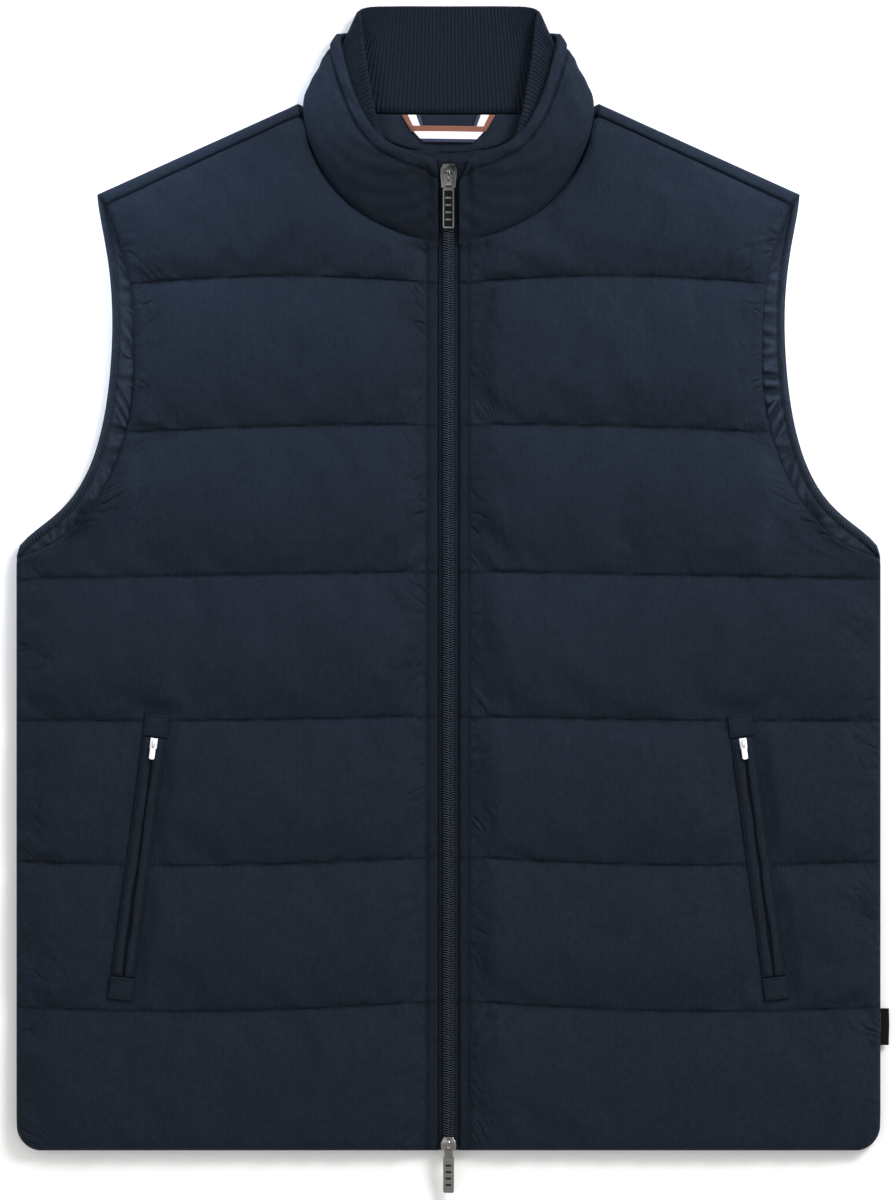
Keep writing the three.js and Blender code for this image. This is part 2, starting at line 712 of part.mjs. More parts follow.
/** The right armhole's facing: gathered along the back's edge, up to the front's edge. */
function armholeFacing() {
  const outerInset = 1.3;
  const innerGap = 1.5;
  const firstShare = 0.015;
  const lastShare = 0.955;
  const waves = Math.round(backArmhole.getLength() / GATHER_PITCH);
  const edgeAt = (path, share, offset) => {
    const step = 1e-3;
    const along = path.getPoint(share + step).sub(path.getPoint(share - step)).normalize();
    return path.getPoint(share).add(flat(along.y, -along.x).multiplyScalar(offset));
  };
  // Across the facing: share of its width, thickness and share of the gathers' rise.
  const across = [
    { share: 0, thick: 0.9, wave: 0.3 },
    { share: 0.35, thick: FACING_THICK, wave: 1 },
    { share: 0.55, thick: 1.1, wave: 0.4 },
    { share: 1, thick: FACING_THICK, wave: 0.8 },
  ];
  const grid = (heightOf) => Array.from({ length: 2 * waves + 1 }, (_, i) => {
    const share = mix(firstShare, lastShare, i / (2 * waves));
    const outer = edgeAt(backArmhole, share, -outerInset);
    const inner = edgeAt(frontArmhole, share, innerGap);
    return across.map((column) => {
      const place = outer.clone().lerp(inner, column.share);
      return vector(place.x, place.y, FRONT_INSIDE + heightOf(column, i % 2));
    });
  });
  const top = grid(({ thick, wave }, odd) => thick + wave * GATHER_RISE * (odd ? 1 : -0.4));
  return wall(top, grid(() => 0));
}

// The zip.

/** A bar along the zip's path, of a section given by half of its points from the centre. */
function alongZip(section, topEnd) {
  const rise = (y) => {
    const next = Math.max(ZIP_PATH.findIndex((station) => station.y >= y), 1);
    const [a, b] = [ZIP_PATH[next - 1], ZIP_PATH[next]];
    return mix(a.z, b.z, (y - a.y) / (b.y - a.y));
  };
  const heights = ZIP_PATH.map(({ y }) => Math.min(y, topEnd));
  return loft(heights.map((y) => section.map(([x, z]) => vector(x, y, rise(y) + z))));
}

const zipTape = () => alongZip(
  [[0.15, 0], [TAPE_EDGE, 0], [TAPE_EDGE, TAPE_THICK], [0.15, TAPE_THICK]],
  ZIP_PATH.at(-1).y,
);

const zipChain = () => {
  const foot = TAPE_THICK + SEAM_GAP;
  return alongZip([
    [-CHAIN_HALF, foot], [CHAIN_HALF, foot], [CHAIN_HALF, CHAIN_TOP - 0.8],
    [CHAIN_HALF - 1.2, CHAIN_TOP], [1.2 - CHAIN_HALF, CHAIN_TOP], [-CHAIN_HALF, CHAIN_TOP - 0.8],
  ], CHAIN_END);
};

/**
 * The arch that holds a pull: a ring round the pull's axis with two feet on the slider's plate.
 * Its origin is the axis, and it lies across the zip's width.
 */
function arch({ reach, rise, thick, width, foot }) {
  const ring = new THREE.Shape();
  ring.moveTo(-reach, -foot);
  ring.lineTo(-reach, 0);
  ring.absellipse(0, 0, reach, rise, Math.PI, 0, true);
  ring.lineTo(reach, -foot);
  ring.lineTo(reach - thick, -foot);
  ring.lineTo(reach - thick, 0);
  ring.absellipse(0, 0, reach - thick, rise - thick, 0, Math.PI, false);
  ring.lineTo(thick - reach, -foot);
  ring.closePath();
  const geometry = plate(ring, -width / 2, width / 2);
  return geometry.rotateX(Math.PI / 2).rotateZ(Math.PI / 2);
}

/**
 * A pull tab hanging from its axis towards -Y: a cross bar, a window for the arch, a neck, and a
 * frame round a shallow recess that plain grip ridges cross.
 */
function pullTab({ bar, thick, window, windowEnd, neck, neckEnd, half, length, ridges }) {
  const shape = outline([
    [-neck, bar], [-neck, -neckEnd], [-half, -neckEnd - 0.8], [-half, 0.8 - length],
    [0.8 - half, -length], [half - 0.8, -length], [half, 0.8 - length], [half, -neckEnd - 0.8],
    [neck, -neckEnd], [neck, bar],
  ]);
  const hole = rectangle(-window, -windowEnd, window, -bar);
  shape.holes.push(hole);
  const body = asManifold(plate(shape, -thick / 2, thick / 2));
  if (ridges === 0) return asGeometry(body);
  const frame = 0.9;
  const depth = 0.5;
  const recess = {
    left: frame - half, right: half - frame, low: frame - length, high: -neckEnd - 1.8,
  };
  const floor = thick / 2 - depth;
  const pocket = plate(rectangle(recess.left, recess.low, recess.right, recess.high), floor, thick);
  let tab = body.subtract(asManifold(pocket));
  const pitch = (recess.high - recess.low) / (ridges + 1);
  for (let i = 1; i <= ridges; i += 1) {
    const y = recess.low + pitch * i;
    const ridge = rectangle(recess.left + 0.8, y - 0.6, recess.right - 0.8, y + 0.6);
    tab = tab.add(asManifold(plate(ridge, floor - 0.2, thick / 2 - 0.1)));
  }
  return asGeometry(tab);
}

/** A main slider: a shield-shaped plate over the chain, flanges beside it, and the arch. */
function mainSlider(size) {
  const { noseHalf, wide, tail, front, back, pivot, axis, archSize } = size;
  const low = SEAM_GAP;
  const high = axis - archSize.foot + 0.2;
  const shield = outline([
    [-tail, -back], [tail, -back], [wide, front - 6.5], [wide, front - 3.5], [noseHalf, front],
    [-noseHalf, front], [-wide, front - 3.5], [-wide, front - 6.5],
  ]);
  const inside = CHAIN_HALF + 0.4;
  const flange = outline([[inside, -back], [tail, -back], [wide, front - 6.5], [wide, front - 3.8],
    [inside, front - 3.8]]);
  const right = plate(flange, -1.9, low + 0.2);
  const bridge = arch(archSize).translate(0, pivot, axis);
  return joined([plate(shield, low, high), right, mirrored(right), bridge]);
}

const MAIN_ARCH = { reach: 3.4, rise: 2.5, thick: 1.1, width: 1.9, foot: 1.9 };
const MAIN_PULL = {
  bar: 0.7, thick: 1.6, window: 1.35, windowEnd: 4.4, neck: 2.8, neckEnd: 8.4, ridges: 4,
};

// The two main sliders. Each stands on the chain at a height up the garment, and its pull hangs
// from the axis at a slope below the chain's own line.
const TOP_SLIDER = {
  y: 630, slope: 13.87, noseHalf: 3.2, wide: 5.2, tail: 4.6, front: 7.8, back: 7.6,
  pivot: 1.2, axis: 3.2, archSize: MAIN_ARCH, droop: 2.5,
  pull: { ...MAIN_PULL, half: 3.6, length: 35 },
};
const BOTTOM_SLIDER = {
  y: 4.6, slope: 0, noseHalf: 3.2, wide: 4.9, tail: 4.5, front: 4.2, back: 3.7,
  pivot: 0.2, axis: 3.4, archSize: { ...MAIN_ARCH, foot: 2.3 }, droop: 13,
  pull: { ...MAIN_PULL, half: 3.55, length: 33 },
};

/** A main slider and its pull, in a group that stands on the chain. */
function addSlider(group, name, size, metal) {
  const onCollar = size.slope > 0;
  const [bend, end] = ZIP_PATH.slice(-2);
  const pathZ = onCollar ? mix(bend.z, end.z, (size.y - bend.y) / (end.y - bend.y)) : ZIP_PATH[0].z;
  const unit = new THREE.Group();
  unit.position.set(0, size.y, pathZ + CHAIN_TOP);
  unit.rotation.x = THREE.MathUtils.degToRad(size.slope);
  group.add(unit);
  add(unit, `zip_slider_${name}`, mainSlider(size), material(metal, 0.35, 0.9));
  const tab = add(unit, `zip_pull_${name}`, pullTab(size.pull), material(metal, 0.35, 0.9));
  tab.position.set(0, size.pivot, size.axis);
  tab.rotation.x = THREE.MathUtils.degToRad(size.droop);
}

// The pockets.

const WELT_SECTION = [[0.8, 0.3], [7.6, 0.3], [7.6, 1.2], [6.8, 2.2], [4.5, 2.7], [1.8, 2.5], [0.8, 1.6]];
const POCKET_SLIDER = { at: 74.2, axis: 4.9, droop: 4 };
const POCKET_ARCH = { reach: 2.3, rise: 1.6, thick: 0.75, width: 0.9, foot: 1.2 };
const POCKET_PULL = {
  bar: 0.45, thick: 0.9, window: 0.75, windowEnd: 2.9, neck: 1.8, neckEnd: 4.2, half: 1.8,
  length: 10.4, ridges: 0,
};

/** One welt beside the slit, as a straight padded strip. */
function welt(side) {
  const ends = [-POCKET.halfLength + SEAM_GAP, POCKET.halfLength - SEAM_GAP];
  return loft(ends.map((y) => WELT_SECTION.map(([x, z]) => vector(side * x, y, z))));
}

/** A square tab across an end of the slit. */
function pocketTab(direction) {
  const near = POCKET.halfLength;
  const bevel = 0.5;
  const shape = rectangle(-8 + bevel, near + bevel, 8 - bevel, near + POCKET.tab - bevel);
  const geometry = new THREE.ExtrudeGeometry(shape, {
    depth: 1.2, bevelThickness: bevel, bevelSize: bevel, bevelSegments: 1,
  });
  geometry.translate(0, 0, SEAM_GAP + bevel);
  if (direction < 0) geometry.rotateZ(Math.PI);
  return geometry;
}

/** The pocket's small slider: a plate on the welts, a web down the slit, and the arch. */
function pocketSlider() {
  const { at, axis } = POCKET_SLIDER;
  const body = plate(rectangle(-2.3, at - 3.3, 2.3, at + 3.4), 3.0, axis - 1.0);
  const web = plate(rectangle(-0.45, at - 2.6, 0.45, at + 2.6), 1.9, 3.2);
  return joined([body, web, arch(POCKET_ARCH).translate(0, at, axis)]);
}

/** All of a pocket's pieces, in a group that lies on the panel along the slit. */
function addPocket(group, name, side) {
  const pocket = new THREE.Group();
  const ground = FRONT_INSIDE + SEAM_THICK + POCKET_LIFT;
  pocket.position.set(side * POCKET.x, POCKET.y, ground);
  pocket.rotation.z = THREE.MathUtils.degToRad(side * POCKET.slant);
  group.add(pocket);
  const zipEnd = POCKET.halfLength - 2 * SEAM_GAP;
  add(pocket, `pocket_welt_inner_${name}`, welt(-side), material(COLORS.cloth));
  add(pocket, `pocket_welt_outer_${name}`, welt(side), material(COLORS.cloth));
  add(pocket, `pocket_tab_top_${name}`, pocketTab(1), material(COLORS.cloth));
  add(pocket, `pocket_tab_bottom_${name}`, pocketTab(-1), material(COLORS.cloth));
  add(pocket, `pocket_zip_${name}`, plate(rectangle(-0.45, -zipEnd, 0.45, zipEnd), 0.3, 1.6),
    material(COLORS.tape, 0.6));
  add(pocket, `pocket_slider_${name}`, pocketSlider(), material(COLORS.steel, 0.35, 0.9));
  const tab = add(pocket, `pocket_pull_${name}`, pullTab(POCKET_PULL), material(COLORS.white, 0.3));
  tab.position.set(0, POCKET_SLIDER.at, POCKET_SLIDER.axis);
  tab.rotation.x = THREE.MathUtils.degToRad(POCKET_SLIDER.droop);
}

/** The small folded label that stands out of the right side seam. */
function sideLabel() {
  return plate(rectangle(HALF_CHEST + SEAM_GAP, 68, HALF_CHEST + 5.8, 91.8), 3.6, 5.0);
}

/** Puts a named piece into a group. */
function add(group, name, geometry, look) {
  const mesh = new THREE.Mesh(geometry, look);
  mesh.name = name;
  group.add(mesh);
  return mesh;
}

const vest = new THREE.Group();
const front = frontPanel();
const facing = armholeFacing();
const tape = zipTape();

add(vest, 'back', backPanel(), material(COLORS.yoke));
add(vest, 'front_right', front, material(COLORS.cloth));
add(vest, 'front_left', mirrored(front), material(COLORS.cloth));
add(vest, 'collar_outer', outerCollar(), material(COLORS.cloth));
add(vest, 'collar_rib', ribCollar(), material(COLORS.rib));
add(vest, 'neck_facing', neckFacing(), material(COLORS.facing));
add(vest, 'back_lining', backLining(), material(COLORS.lining));
add(vest, 'hanger_loop', hangerLoop(), material(COLORS.ribbon));
add(vest, 'armhole_facing_right', facing, material(COLORS.lining));
add(vest, 'armhole_facing_left', mirrored(facing), material(COLORS.lining));
add(vest, 'zip_tape_right', tape, material(COLORS.tape));
add(vest, 'zip_tape_left', mirrored(tape), material(COLORS.tape));
add(vest, 'zip_chain', zipChain(), material(COLORS.darkSteel, 0.5, 0.3));
addSlider(vest, 'top', TOP_SLIDER, COLORS.steel);
addSlider(vest, 'bottom', BOTTOM_SLIDER, COLORS.darkSteel);
addPocket(vest, 'right', 1);
addPocket(vest, 'left', -1);
add(vest, 'side_label', sideLabel(), material(COLORS.label));

vest.position.y = -ORIGIN_UP;

export default vest;
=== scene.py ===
# %% [markdown]
# # A quilted vest, laid flat
#
# The garment lies on its back on a pale table and the camera looks straight down on it, as a
# catalogue photograph does. The solid model already says where each piece is. Here each piece gets
# its cloth, knit, ribbon or metal, at real size and in the same place.

# %% Load the solid model as the frame
import math

import bmesh
import bpy
import numpy as np
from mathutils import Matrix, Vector


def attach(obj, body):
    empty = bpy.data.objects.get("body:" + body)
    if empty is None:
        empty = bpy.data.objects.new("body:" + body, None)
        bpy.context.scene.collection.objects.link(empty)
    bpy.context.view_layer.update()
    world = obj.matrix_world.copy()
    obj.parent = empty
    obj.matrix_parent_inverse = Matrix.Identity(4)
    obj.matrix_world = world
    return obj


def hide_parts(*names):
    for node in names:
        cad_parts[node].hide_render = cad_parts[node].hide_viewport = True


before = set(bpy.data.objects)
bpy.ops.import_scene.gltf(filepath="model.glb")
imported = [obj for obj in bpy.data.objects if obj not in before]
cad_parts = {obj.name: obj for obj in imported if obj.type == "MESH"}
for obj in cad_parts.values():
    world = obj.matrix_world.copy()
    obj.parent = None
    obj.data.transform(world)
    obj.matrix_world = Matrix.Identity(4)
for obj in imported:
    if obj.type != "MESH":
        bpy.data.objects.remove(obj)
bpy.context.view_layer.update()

# %% [markdown]
# ## Units and small helpers
#
# A tailor measures in millimetres from the hem, so the shapes here are worked out that way and
# turned into metres in the frame only when a mesh is made. Every cloth piece is a grid of points:
# a top face, an inside face and a rim that joins them, which keeps each wall closed.

# %% Units
MM = 0.001
ORIGIN_UP = 370.0


def to_frame(points):
    """Millimetres up from the hem to metres in the frame: take off the origin's height, scale."""
    points = np.array(points, dtype=float)
    points[..., 1] -= ORIGIN_UP
    return points * MM


def smooth(low, high, value):
    """0 below low and 1 above high, with the curve 3t^2 - 2t^3 between."""
    t = np.clip((np.asarray(value, dtype=float) - low) / (high - low), 0, 1)
    return t * t * (3 - 2 * t)


def mix(a, b, share):
    """The point a share of the way from a to b."""
    return a + (np.asarray(b) - a) * share


def bell(distance, width):
    """A bell curve across a line, 1 on it: exp(-(distance / width)^2)."""
    return np.exp(-(distance / width) ** 2)


def rounded(distance, radius):
    """A quarter circle from 0 at an edge to 1 at a radius from it: sqrt(1 - (1 - d / r)^2)."""
    return np.sqrt(1 - (1 - np.clip(distance / radius, 0, 1)) ** 2)


def join(*parts):
    """Numbers and arrays that fit each other, stacked as the coordinates of points."""
    return np.stack(np.broadcast_arrays(*parts), -1)


def run_lengths(points):
    """The length reached at each point of a line."""
    return np.concatenate([[0], np.cumsum(np.linalg.norm(np.diff(points, axis=0), axis=1))])


# %% Grids, walls and objects
def grid_quads(rows, columns):
    """Four-sided faces between neighbouring points of a grid."""
    index = np.arange(rows * columns).reshape(rows, columns)
    corners = [index[:-1, :-1], index[:-1, 1:], index[1:, 1:], index[1:, :-1]]
    return np.stack(corners, -1).reshape(-1, 4)


def wall_quads(rows, columns):
    """A closed wall's faces: a grid, the same grid turned over below it, and the rim between."""
    size = rows * columns
    index = np.arange(size).reshape(rows, columns)
    top = grid_quads(rows, columns)
    edge = np.concatenate([index[0, :-1], index[:-1, -1], index[-1, :0:-1], index[:0:-1, 0]])
    after = np.roll(edge, -1)
    rim = np.stack([after, edge, edge + size, after + size], -1)
    return np.concatenate([top, top[:, ::-1] + size, rim])


def ring_quads(rings, size):
    """Four-sided faces between closed rings of points. The two ends stay open."""
    index = np.arange(rings * size).reshape(rings, size)
    after = np.roll(index, -1, axis=1)
    return np.stack([index[:-1], after[:-1], after[1:], index[1:]], -1).reshape(-1, 4)


def new_mesh(name, points, quads):
    """A mesh whose points (metres, in the frame) and four-sided faces are set as whole arrays."""
    mesh = bpy.data.meshes.new(name)
    points = np.asarray(points, dtype=np.float32).reshape(-1, 3)
    mesh.vertices.add(len(points))
    mesh.vertices.foreach_set("co", points.ravel())
    mesh.loops.add(quads.size)
    mesh.loops.foreach_set("vertex_index", quads.ravel().astype(np.int32))
    mesh.polygons.add(len(quads))
    mesh.polygons.foreach_set("loop_start", np.arange(0, quads.size, 4, dtype=np.int32))
    mesh.update(calc_edges=True)
    mesh.validate()
    return mesh


def face_outwards(mesh):
    """Turns every face of a closed mesh outwards."""
    work = bmesh.new()
    work.from_mesh(mesh)
    bmesh.ops.recalc_face_normals(work, faces=work.faces)
    work.to_mesh(mesh)
    work.free()


def new_object(name, data):
    """An object in the scene for a mesh, a camera or a lamp."""
    obj = bpy.data.objects.new(name, data)
    bpy.context.scene.collection.objects.link(obj)
    return obj


def new_look(name):
    """A material with nodes: the material, its tree and its shader."""
    look = bpy.data.materials.new(name)
    look.use_nodes = True
    return look, look.node_tree, look.node_tree.nodes["Principled BSDF"]


def add_piece(name, mesh, look, body, replaces=()):
    """Puts a mesh in the scene as a smooth piece of the garment that rides on a body."""
    obj = new_object(name, mesh)
    mesh.materials.clear()
    mesh.materials.append(look)
    mesh.shade_smooth()
    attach(obj, body)
    if replaces:
        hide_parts(*replaces)
    return obj


def add_solid(name, points, quads, look, body, replaces=()):
    """A closed shape from points in millimetres and four-sided faces, turned outwards."""
    mesh = new_mesh(name, to_frame(points), quads)
    face_outwards(mesh)
    return add_piece(name, mesh, look, body, replaces)


def add_wall(name, outer, inner, look, replaces=()):
    """A closed wall between two grids of points in millimetres, as a piece of the vest."""
    points = np.concatenate([outer.reshape(-1, 3), inner.reshape(-1, 3)])
    return add_solid(name, points, wall_quads(*outer.shape[:2]), look, "vest", replaces)


def subdivide(obj, levels=1):
    """A live subdivision surface, the same in the viewport and the render."""
    modifier = obj.modifiers.new("Subdivision", "SUBSURF")
    modifier.levels = levels
    modifier.render_levels = levels


def cloth_area(obj):
    """The area of one side of a thin closed wall, in square metres: half of all its faces."""
    areas = np.zeros(len(obj.data.polygons))
    obj.data.polygons.foreach_get("area", areas)
    return float(areas.sum()) / 2


# %% Uneven ripples, for cloth that is never quite even
def ripples(x, y, wavelength, seed, waves=9, stretch=(1.0, 1.0)):
    """A sum of sine waves in random directions, each near one wavelength, scaled to about -1..1."""
    draw = np.random.default_rng(seed)
    angle = draw.uniform(0, 2 * math.pi, waves)
    length = wavelength * draw.uniform(0.7, 1.5, waves)
    phase = draw.uniform(0, 2 * math.pi, waves)
    kx = np.cos(angle) * 2 * math.pi / length / stretch[0]
    ky = np.sin(angle) * 2 * math.pi / length / stretch[1]
    x, y = np.broadcast_arrays(np.asarray(x, dtype=float), np.asarray(y, dtype=float))
    total = np.sin(x[..., None] * kx + y[..., None] * ky + phase).sum(-1)
    return total / math.sqrt(waves)


# %% [markdown]
# ## The camera, the table and the light
#
# The photograph is taken from high above with a long lens, so the garment's outline is almost
# drawn square on. The light comes down from the collar's end: each quilted channel is brighter
# just below a seam and darker just above the next one, and the shadow falls towards the hem.

# %% Camera straight above, with the photograph's frame
PHOTO_WIDE = 896
PHOTO_HIGH = 1200
MM_PER_PIXEL = 0.6467
CENTRE_PIXEL_X = 448.5
HEM_PIXEL_Y = 1151
CAMERA_UP = 4.0
GARMENT_MIDDLE_Z = 0.012
SENSOR_HIGH = 32.0


def pixel(x, y):
    """A place of the photograph, in millimetres from the centre line and the hem."""
    return (x - CENTRE_PIXEL_X) * MM_PER_PIXEL, (HEM_PIXEL_Y - y) * MM_PER_PIXEL


view_x, view_y = pixel(PHOTO_WIDE / 2, PHOTO_HIGH / 2)
camera_data = bpy.data.cameras.new("camera")
camera_data.sensor_fit = "VERTICAL"
camera_data.sensor_height = SENSOR_HIGH
camera_data.lens = CAMERA_UP * SENSOR_HIGH / (PHOTO_HIGH * MM_PER_PIXEL * MM)
camera = new_object("camera", camera_data)
camera.location = (view_x * MM, (view_y - ORIGIN_UP) * MM, CAMERA_UP + GARMENT_MIDDLE_Z)
bpy.context.scene.camera = camera
print("lens", round(camera_data.lens, 1), "mm")

# %% Table, sky and lamps
bpy.context.scene.view_settings.view_transform = "Standard"
TABLE_HALF = 6.0
TABLE_WHITE = (0.86, 0.86, 0.86, 1)
SKY_WHITE = (1, 0.99, 0.975, 1)
SKY_STRENGTH = 0.8
SHOULDER_BLUE = (0.62, 0.76, 1.0)


def add_area_light(name, place, aim, size, power, color=(1, 1, 1), spread=180):
    """A square soft light at a place, turned so that its -Z axis points at the aim."""
    light = bpy.data.lights.new(name, "AREA")
    light.size = size
    light.energy = power
    light.color = color
    light.spread = math.radians(spread)
    lamp = new_object(name, light)
    lamp.location = place
    lamp.rotation_euler = (Vector(aim) - lamp.location).to_track_quat("-Z", "Y").to_euler()


table_points = np.array([[-1, -1, 0], [1, -1, 0], [1, 1, 0], [-1, 1, 0]]) * TABLE_HALF
table_mesh = new_mesh("table", table_points, np.array([[0, 1, 2, 3]]))
table_look, _, table_shader = new_look("table_white")
table_shader.inputs["Base Color"].default_value = TABLE_WHITE
table_shader.inputs["Roughness"].default_value = 0.9
table_mesh.materials.append(table_look)
table = new_object("table", table_mesh)

world = bpy.data.worlds.new("studio")
world.use_nodes = True
world.node_tree.nodes["Background"].inputs["Color"].default_value = SKY_WHITE
world.node_tree.nodes["Background"].inputs["Strength"].default_value = SKY_STRENGTH
bpy.context.scene.world = world
add_area_light("key_light", (1.6, 1.55, 1.95), (0, 0, 0), 1.0, 75)
add_area_light("fill_light", (-1.6, 0.4, 2.6), (0, 0, 0), 2.2, 10)
for side, label, power in ((-1, "left", 0.41), (1, "right", 0.33)):
    add_area_light(f"shoulder_light_{label}", (0.34 * side, 0.56, 0.24), (0.22 * side, 0.27, 0),
                   0.2, power, SHOULDER_BLUE, spread=57)

# %% [markdown]
# ## Cloth, knit, ribbon and metal
#
# The shell is a soft, matt cloth with fine cords that run down the garment. The cords and the
# weave are far too fine to model, so one node group works them out from a point's place and gives
# each material an uneven colour and a height for its bump. Only what changes over the surface
# comes out of the group. The shader itself stays in each material.


# %% Node helpers
def srgb(red, green, blue):
    """A colour as seen on screen, 0 to 255, as linear light: ((c + 0.055) / 1.055) ^ 2.4."""
    values = np.array([red, green, blue]) / 255
    linear = np.where(values <= 0.04045, values / 12.92, ((values + 0.055) / 1.055) ** 2.4)
    return (*[float(v) for v in linear], 1.0)


def set_inputs(tree, node, values):
    """Links or plain values into a node's inputs."""
    for key, value in values.items():
        if isinstance(value, bpy.types.NodeSocket):
            tree.links.new(value, node.inputs[key])
        else:
            node.inputs[key].default_value = value


def add_node(tree, kind, inputs, output=0, **settings):
    """A node with its settings and inputs. Returns one output."""
    node = tree.nodes.new(kind)
    for name, value in settings.items():
        setattr(node, name, value)
    set_inputs(tree, node, inputs)
    return node.outputs[output]


def add_math(tree, operation, first, second=0.0):
    """A Math node on links or numbers."""
    return add_node(tree, "ShaderNodeMath", {0: first, 1: second}, operation=operation)


def plus(tree, first, second):
    """A sum of links or numbers."""
    return add_math(tree, "ADD", first, second)


def times(tree, first, second):
    """A product of links or numbers."""
    return add_math(tree, "MULTIPLY", first, second)


def add_mix(tree, factor, first, second):
    """A colour Mix node on links or plain colours."""
    return add_node(tree, "ShaderNodeMix", {0: factor, 6: first, 7: second}, 2, data_type="RGBA")


def add_noise(tree, vector, scale, detail=2.0):
    """A grey noise texture on a position in millimetres."""
    return add_node(tree, "ShaderNodeTexNoise", {"Vector": vector, "Scale": scale, "Detail": detail})


def scale_vector(tree, vector, factor):
    """A vector or a colour made longer or brighter."""
    return add_node(tree, "ShaderNodeVectorMath", {0: vector, "Scale": factor}, operation="SCALE")


def split_vector(tree, vector):
    """A vector's three parts."""
    parts = tree.nodes.new("ShaderNodeSeparateXYZ")
    tree.links.new(vector, parts.inputs[0])
    return parts.outputs


def read_attribute(tree, name, output="Fac"):
    """A number or a vector that the mesh holds for each point."""
    return add_node(tree, "ShaderNodeAttribute", {}, output, attribute_name=name)


def add_bump(tree, height, depth_mm, below=None):
    """A bump of a real depth, on its own or on top of another one's normal."""
    inputs = {"Height": height, "Distance": depth_mm * MM}
    if below:
        inputs["Normal"] = below
    return add_node(tree, "ShaderNodeBump", inputs)


def object_millimetres(tree):
    """The point's place on the garment, in millimetres."""
    return scale_vector(tree, add_node(tree, "ShaderNodeTexCoord", {}, "Object"), 1 / MM)


# %% The weave group: cords down the cloth, weft across, uneven yarn and uneven dye
GROUP_SOCKETS = (
    ("INPUT", "NodeSocketColor", ("Cloth", "Valley")),
    ("INPUT", "NodeSocketFloat", ("Cord Pitch", "Weft Pitch", "Cord Depth", "Patchiness")),
    ("OUTPUT", "NodeSocketColor", ("Color",)),
    ("OUTPUT", "NodeSocketFloat", ("Height", "Roughness")),
)
YARN_STRETCH = (0.42, 0.27, 0.3)
# How fine each noise is, in blotches for each millimetre.
WANDER_SCALE = 0.12
FUZZ_SCALE = 1.9
DYE_SCALE = 0.035
UNEVEN_SCALE = 0.14
UNEVEN_HEIGHT = 10


def make_weave_group():
    """Cloth colour, height and roughness from place.

    A sine along X draws the cords and one along Y the weft. A fine noise is the fuzz, a stretched
    one the slubs of uneven yarn, and slow ones vary the dye and the height.
    """
    tree = bpy.data.node_groups.new("woven_cloth", "ShaderNodeTree")
    for way, kind, names in GROUP_SOCKETS:
        for name in names:
            tree.interface.new_socket(name, in_out=way, socket_type=kind)
    inputs = tree.nodes.new("NodeGroupInput").outputs
    place = object_millimetres(tree)
    parts = split_vector(tree, place)
    wander = times(tree, add_noise(tree, place, WANDER_SCALE), 1.2)

    def wave(along, pitch):
        angle = add_math(tree, "DIVIDE", times(tree, plus(tree, along, wander), 2 * math.pi), pitch)
        return plus(tree, times(tree, add_math(tree, "SINE", angle), 0.5), 0.5)

    def around_zero(noise, size):
        return times(tree, add_math(tree, "SUBTRACT", noise, 0.5), size)

    cord = wave(parts["X"], inputs["Cord Pitch"])
    weft = wave(parts["Y"], inputs["Weft Pitch"])
    yarn_place = add_node(tree, "ShaderNodeVectorMath", {0: place, 1: YARN_STRETCH}, operation="MULTIPLY")
    fuzz = add_noise(tree, place, FUZZ_SCALE, 4.0)
    slubs = add_noise(tree, yarn_place, 1.0, 4.0)
    dye = add_noise(tree, place, DYE_SCALE, 3.0)
    unevenness = add_noise(tree, place, UNEVEN_SCALE)
    woven = times(tree, cord, plus(tree, times(tree, weft, 0.35), 0.65))
    depth = times(tree, add_math(tree, "SUBTRACT", 1.0, woven), inputs["Cord Depth"])
    threads = add_mix(tree, depth, inputs["Cloth"], inputs["Valley"])
    grains = plus(tree, around_zero(fuzz, 1.0), around_zero(slubs, 0.9))
    brightness = plus(tree, plus(tree, around_zero(dye, inputs["Patchiness"]), grains), 1.0)
    height = plus(tree, woven, times(tree, fuzz, 0.7))
    height = plus(tree, height, times(tree, unevenness, UNEVEN_HEIGHT))
    set_inputs(tree, tree.nodes.new("NodeGroupOutput"), {
        "Color": scale_vector(tree, threads, brightness),
        "Height": plus(tree, height, slubs),
        "Roughness": plus(tree, times(tree, fuzz, 0.12), 0.8),
    })
    return tree


WEAVE = make_weave_group()
PATCHINESS = 0.25
PUCKER_WIDTH = 0.3
SHEEN_TINT = srgb(120, 130, 160)


def add_puckers(tree, mark, depth_mm, normal):
    """Fine creases from two attributes of the mesh: a place to draw them in, and their strength.

    The crease lies where a noise passes its middle: height = smoothstep(0, width, |2 n - 1|).
    """
    noise = add_noise(tree, read_attribute(tree, mark + "_place", "Vector"), 1.0, 0.6)
    middle = add_math(tree, "ABSOLUTE", add_math(tree, "SUBTRACT", times(tree, noise, 2), 1))
    valley = add_node(tree, "ShaderNodeMapRange", {"Value": middle, "From Max": PUCKER_WIDTH},
                      interpolation_type="SMOOTHSTEP")
    relief = times(tree, add_math(tree, "SUBTRACT", valley, 1), read_attribute(tree, mark))
    return add_bump(tree, relief, depth_mm, normal)


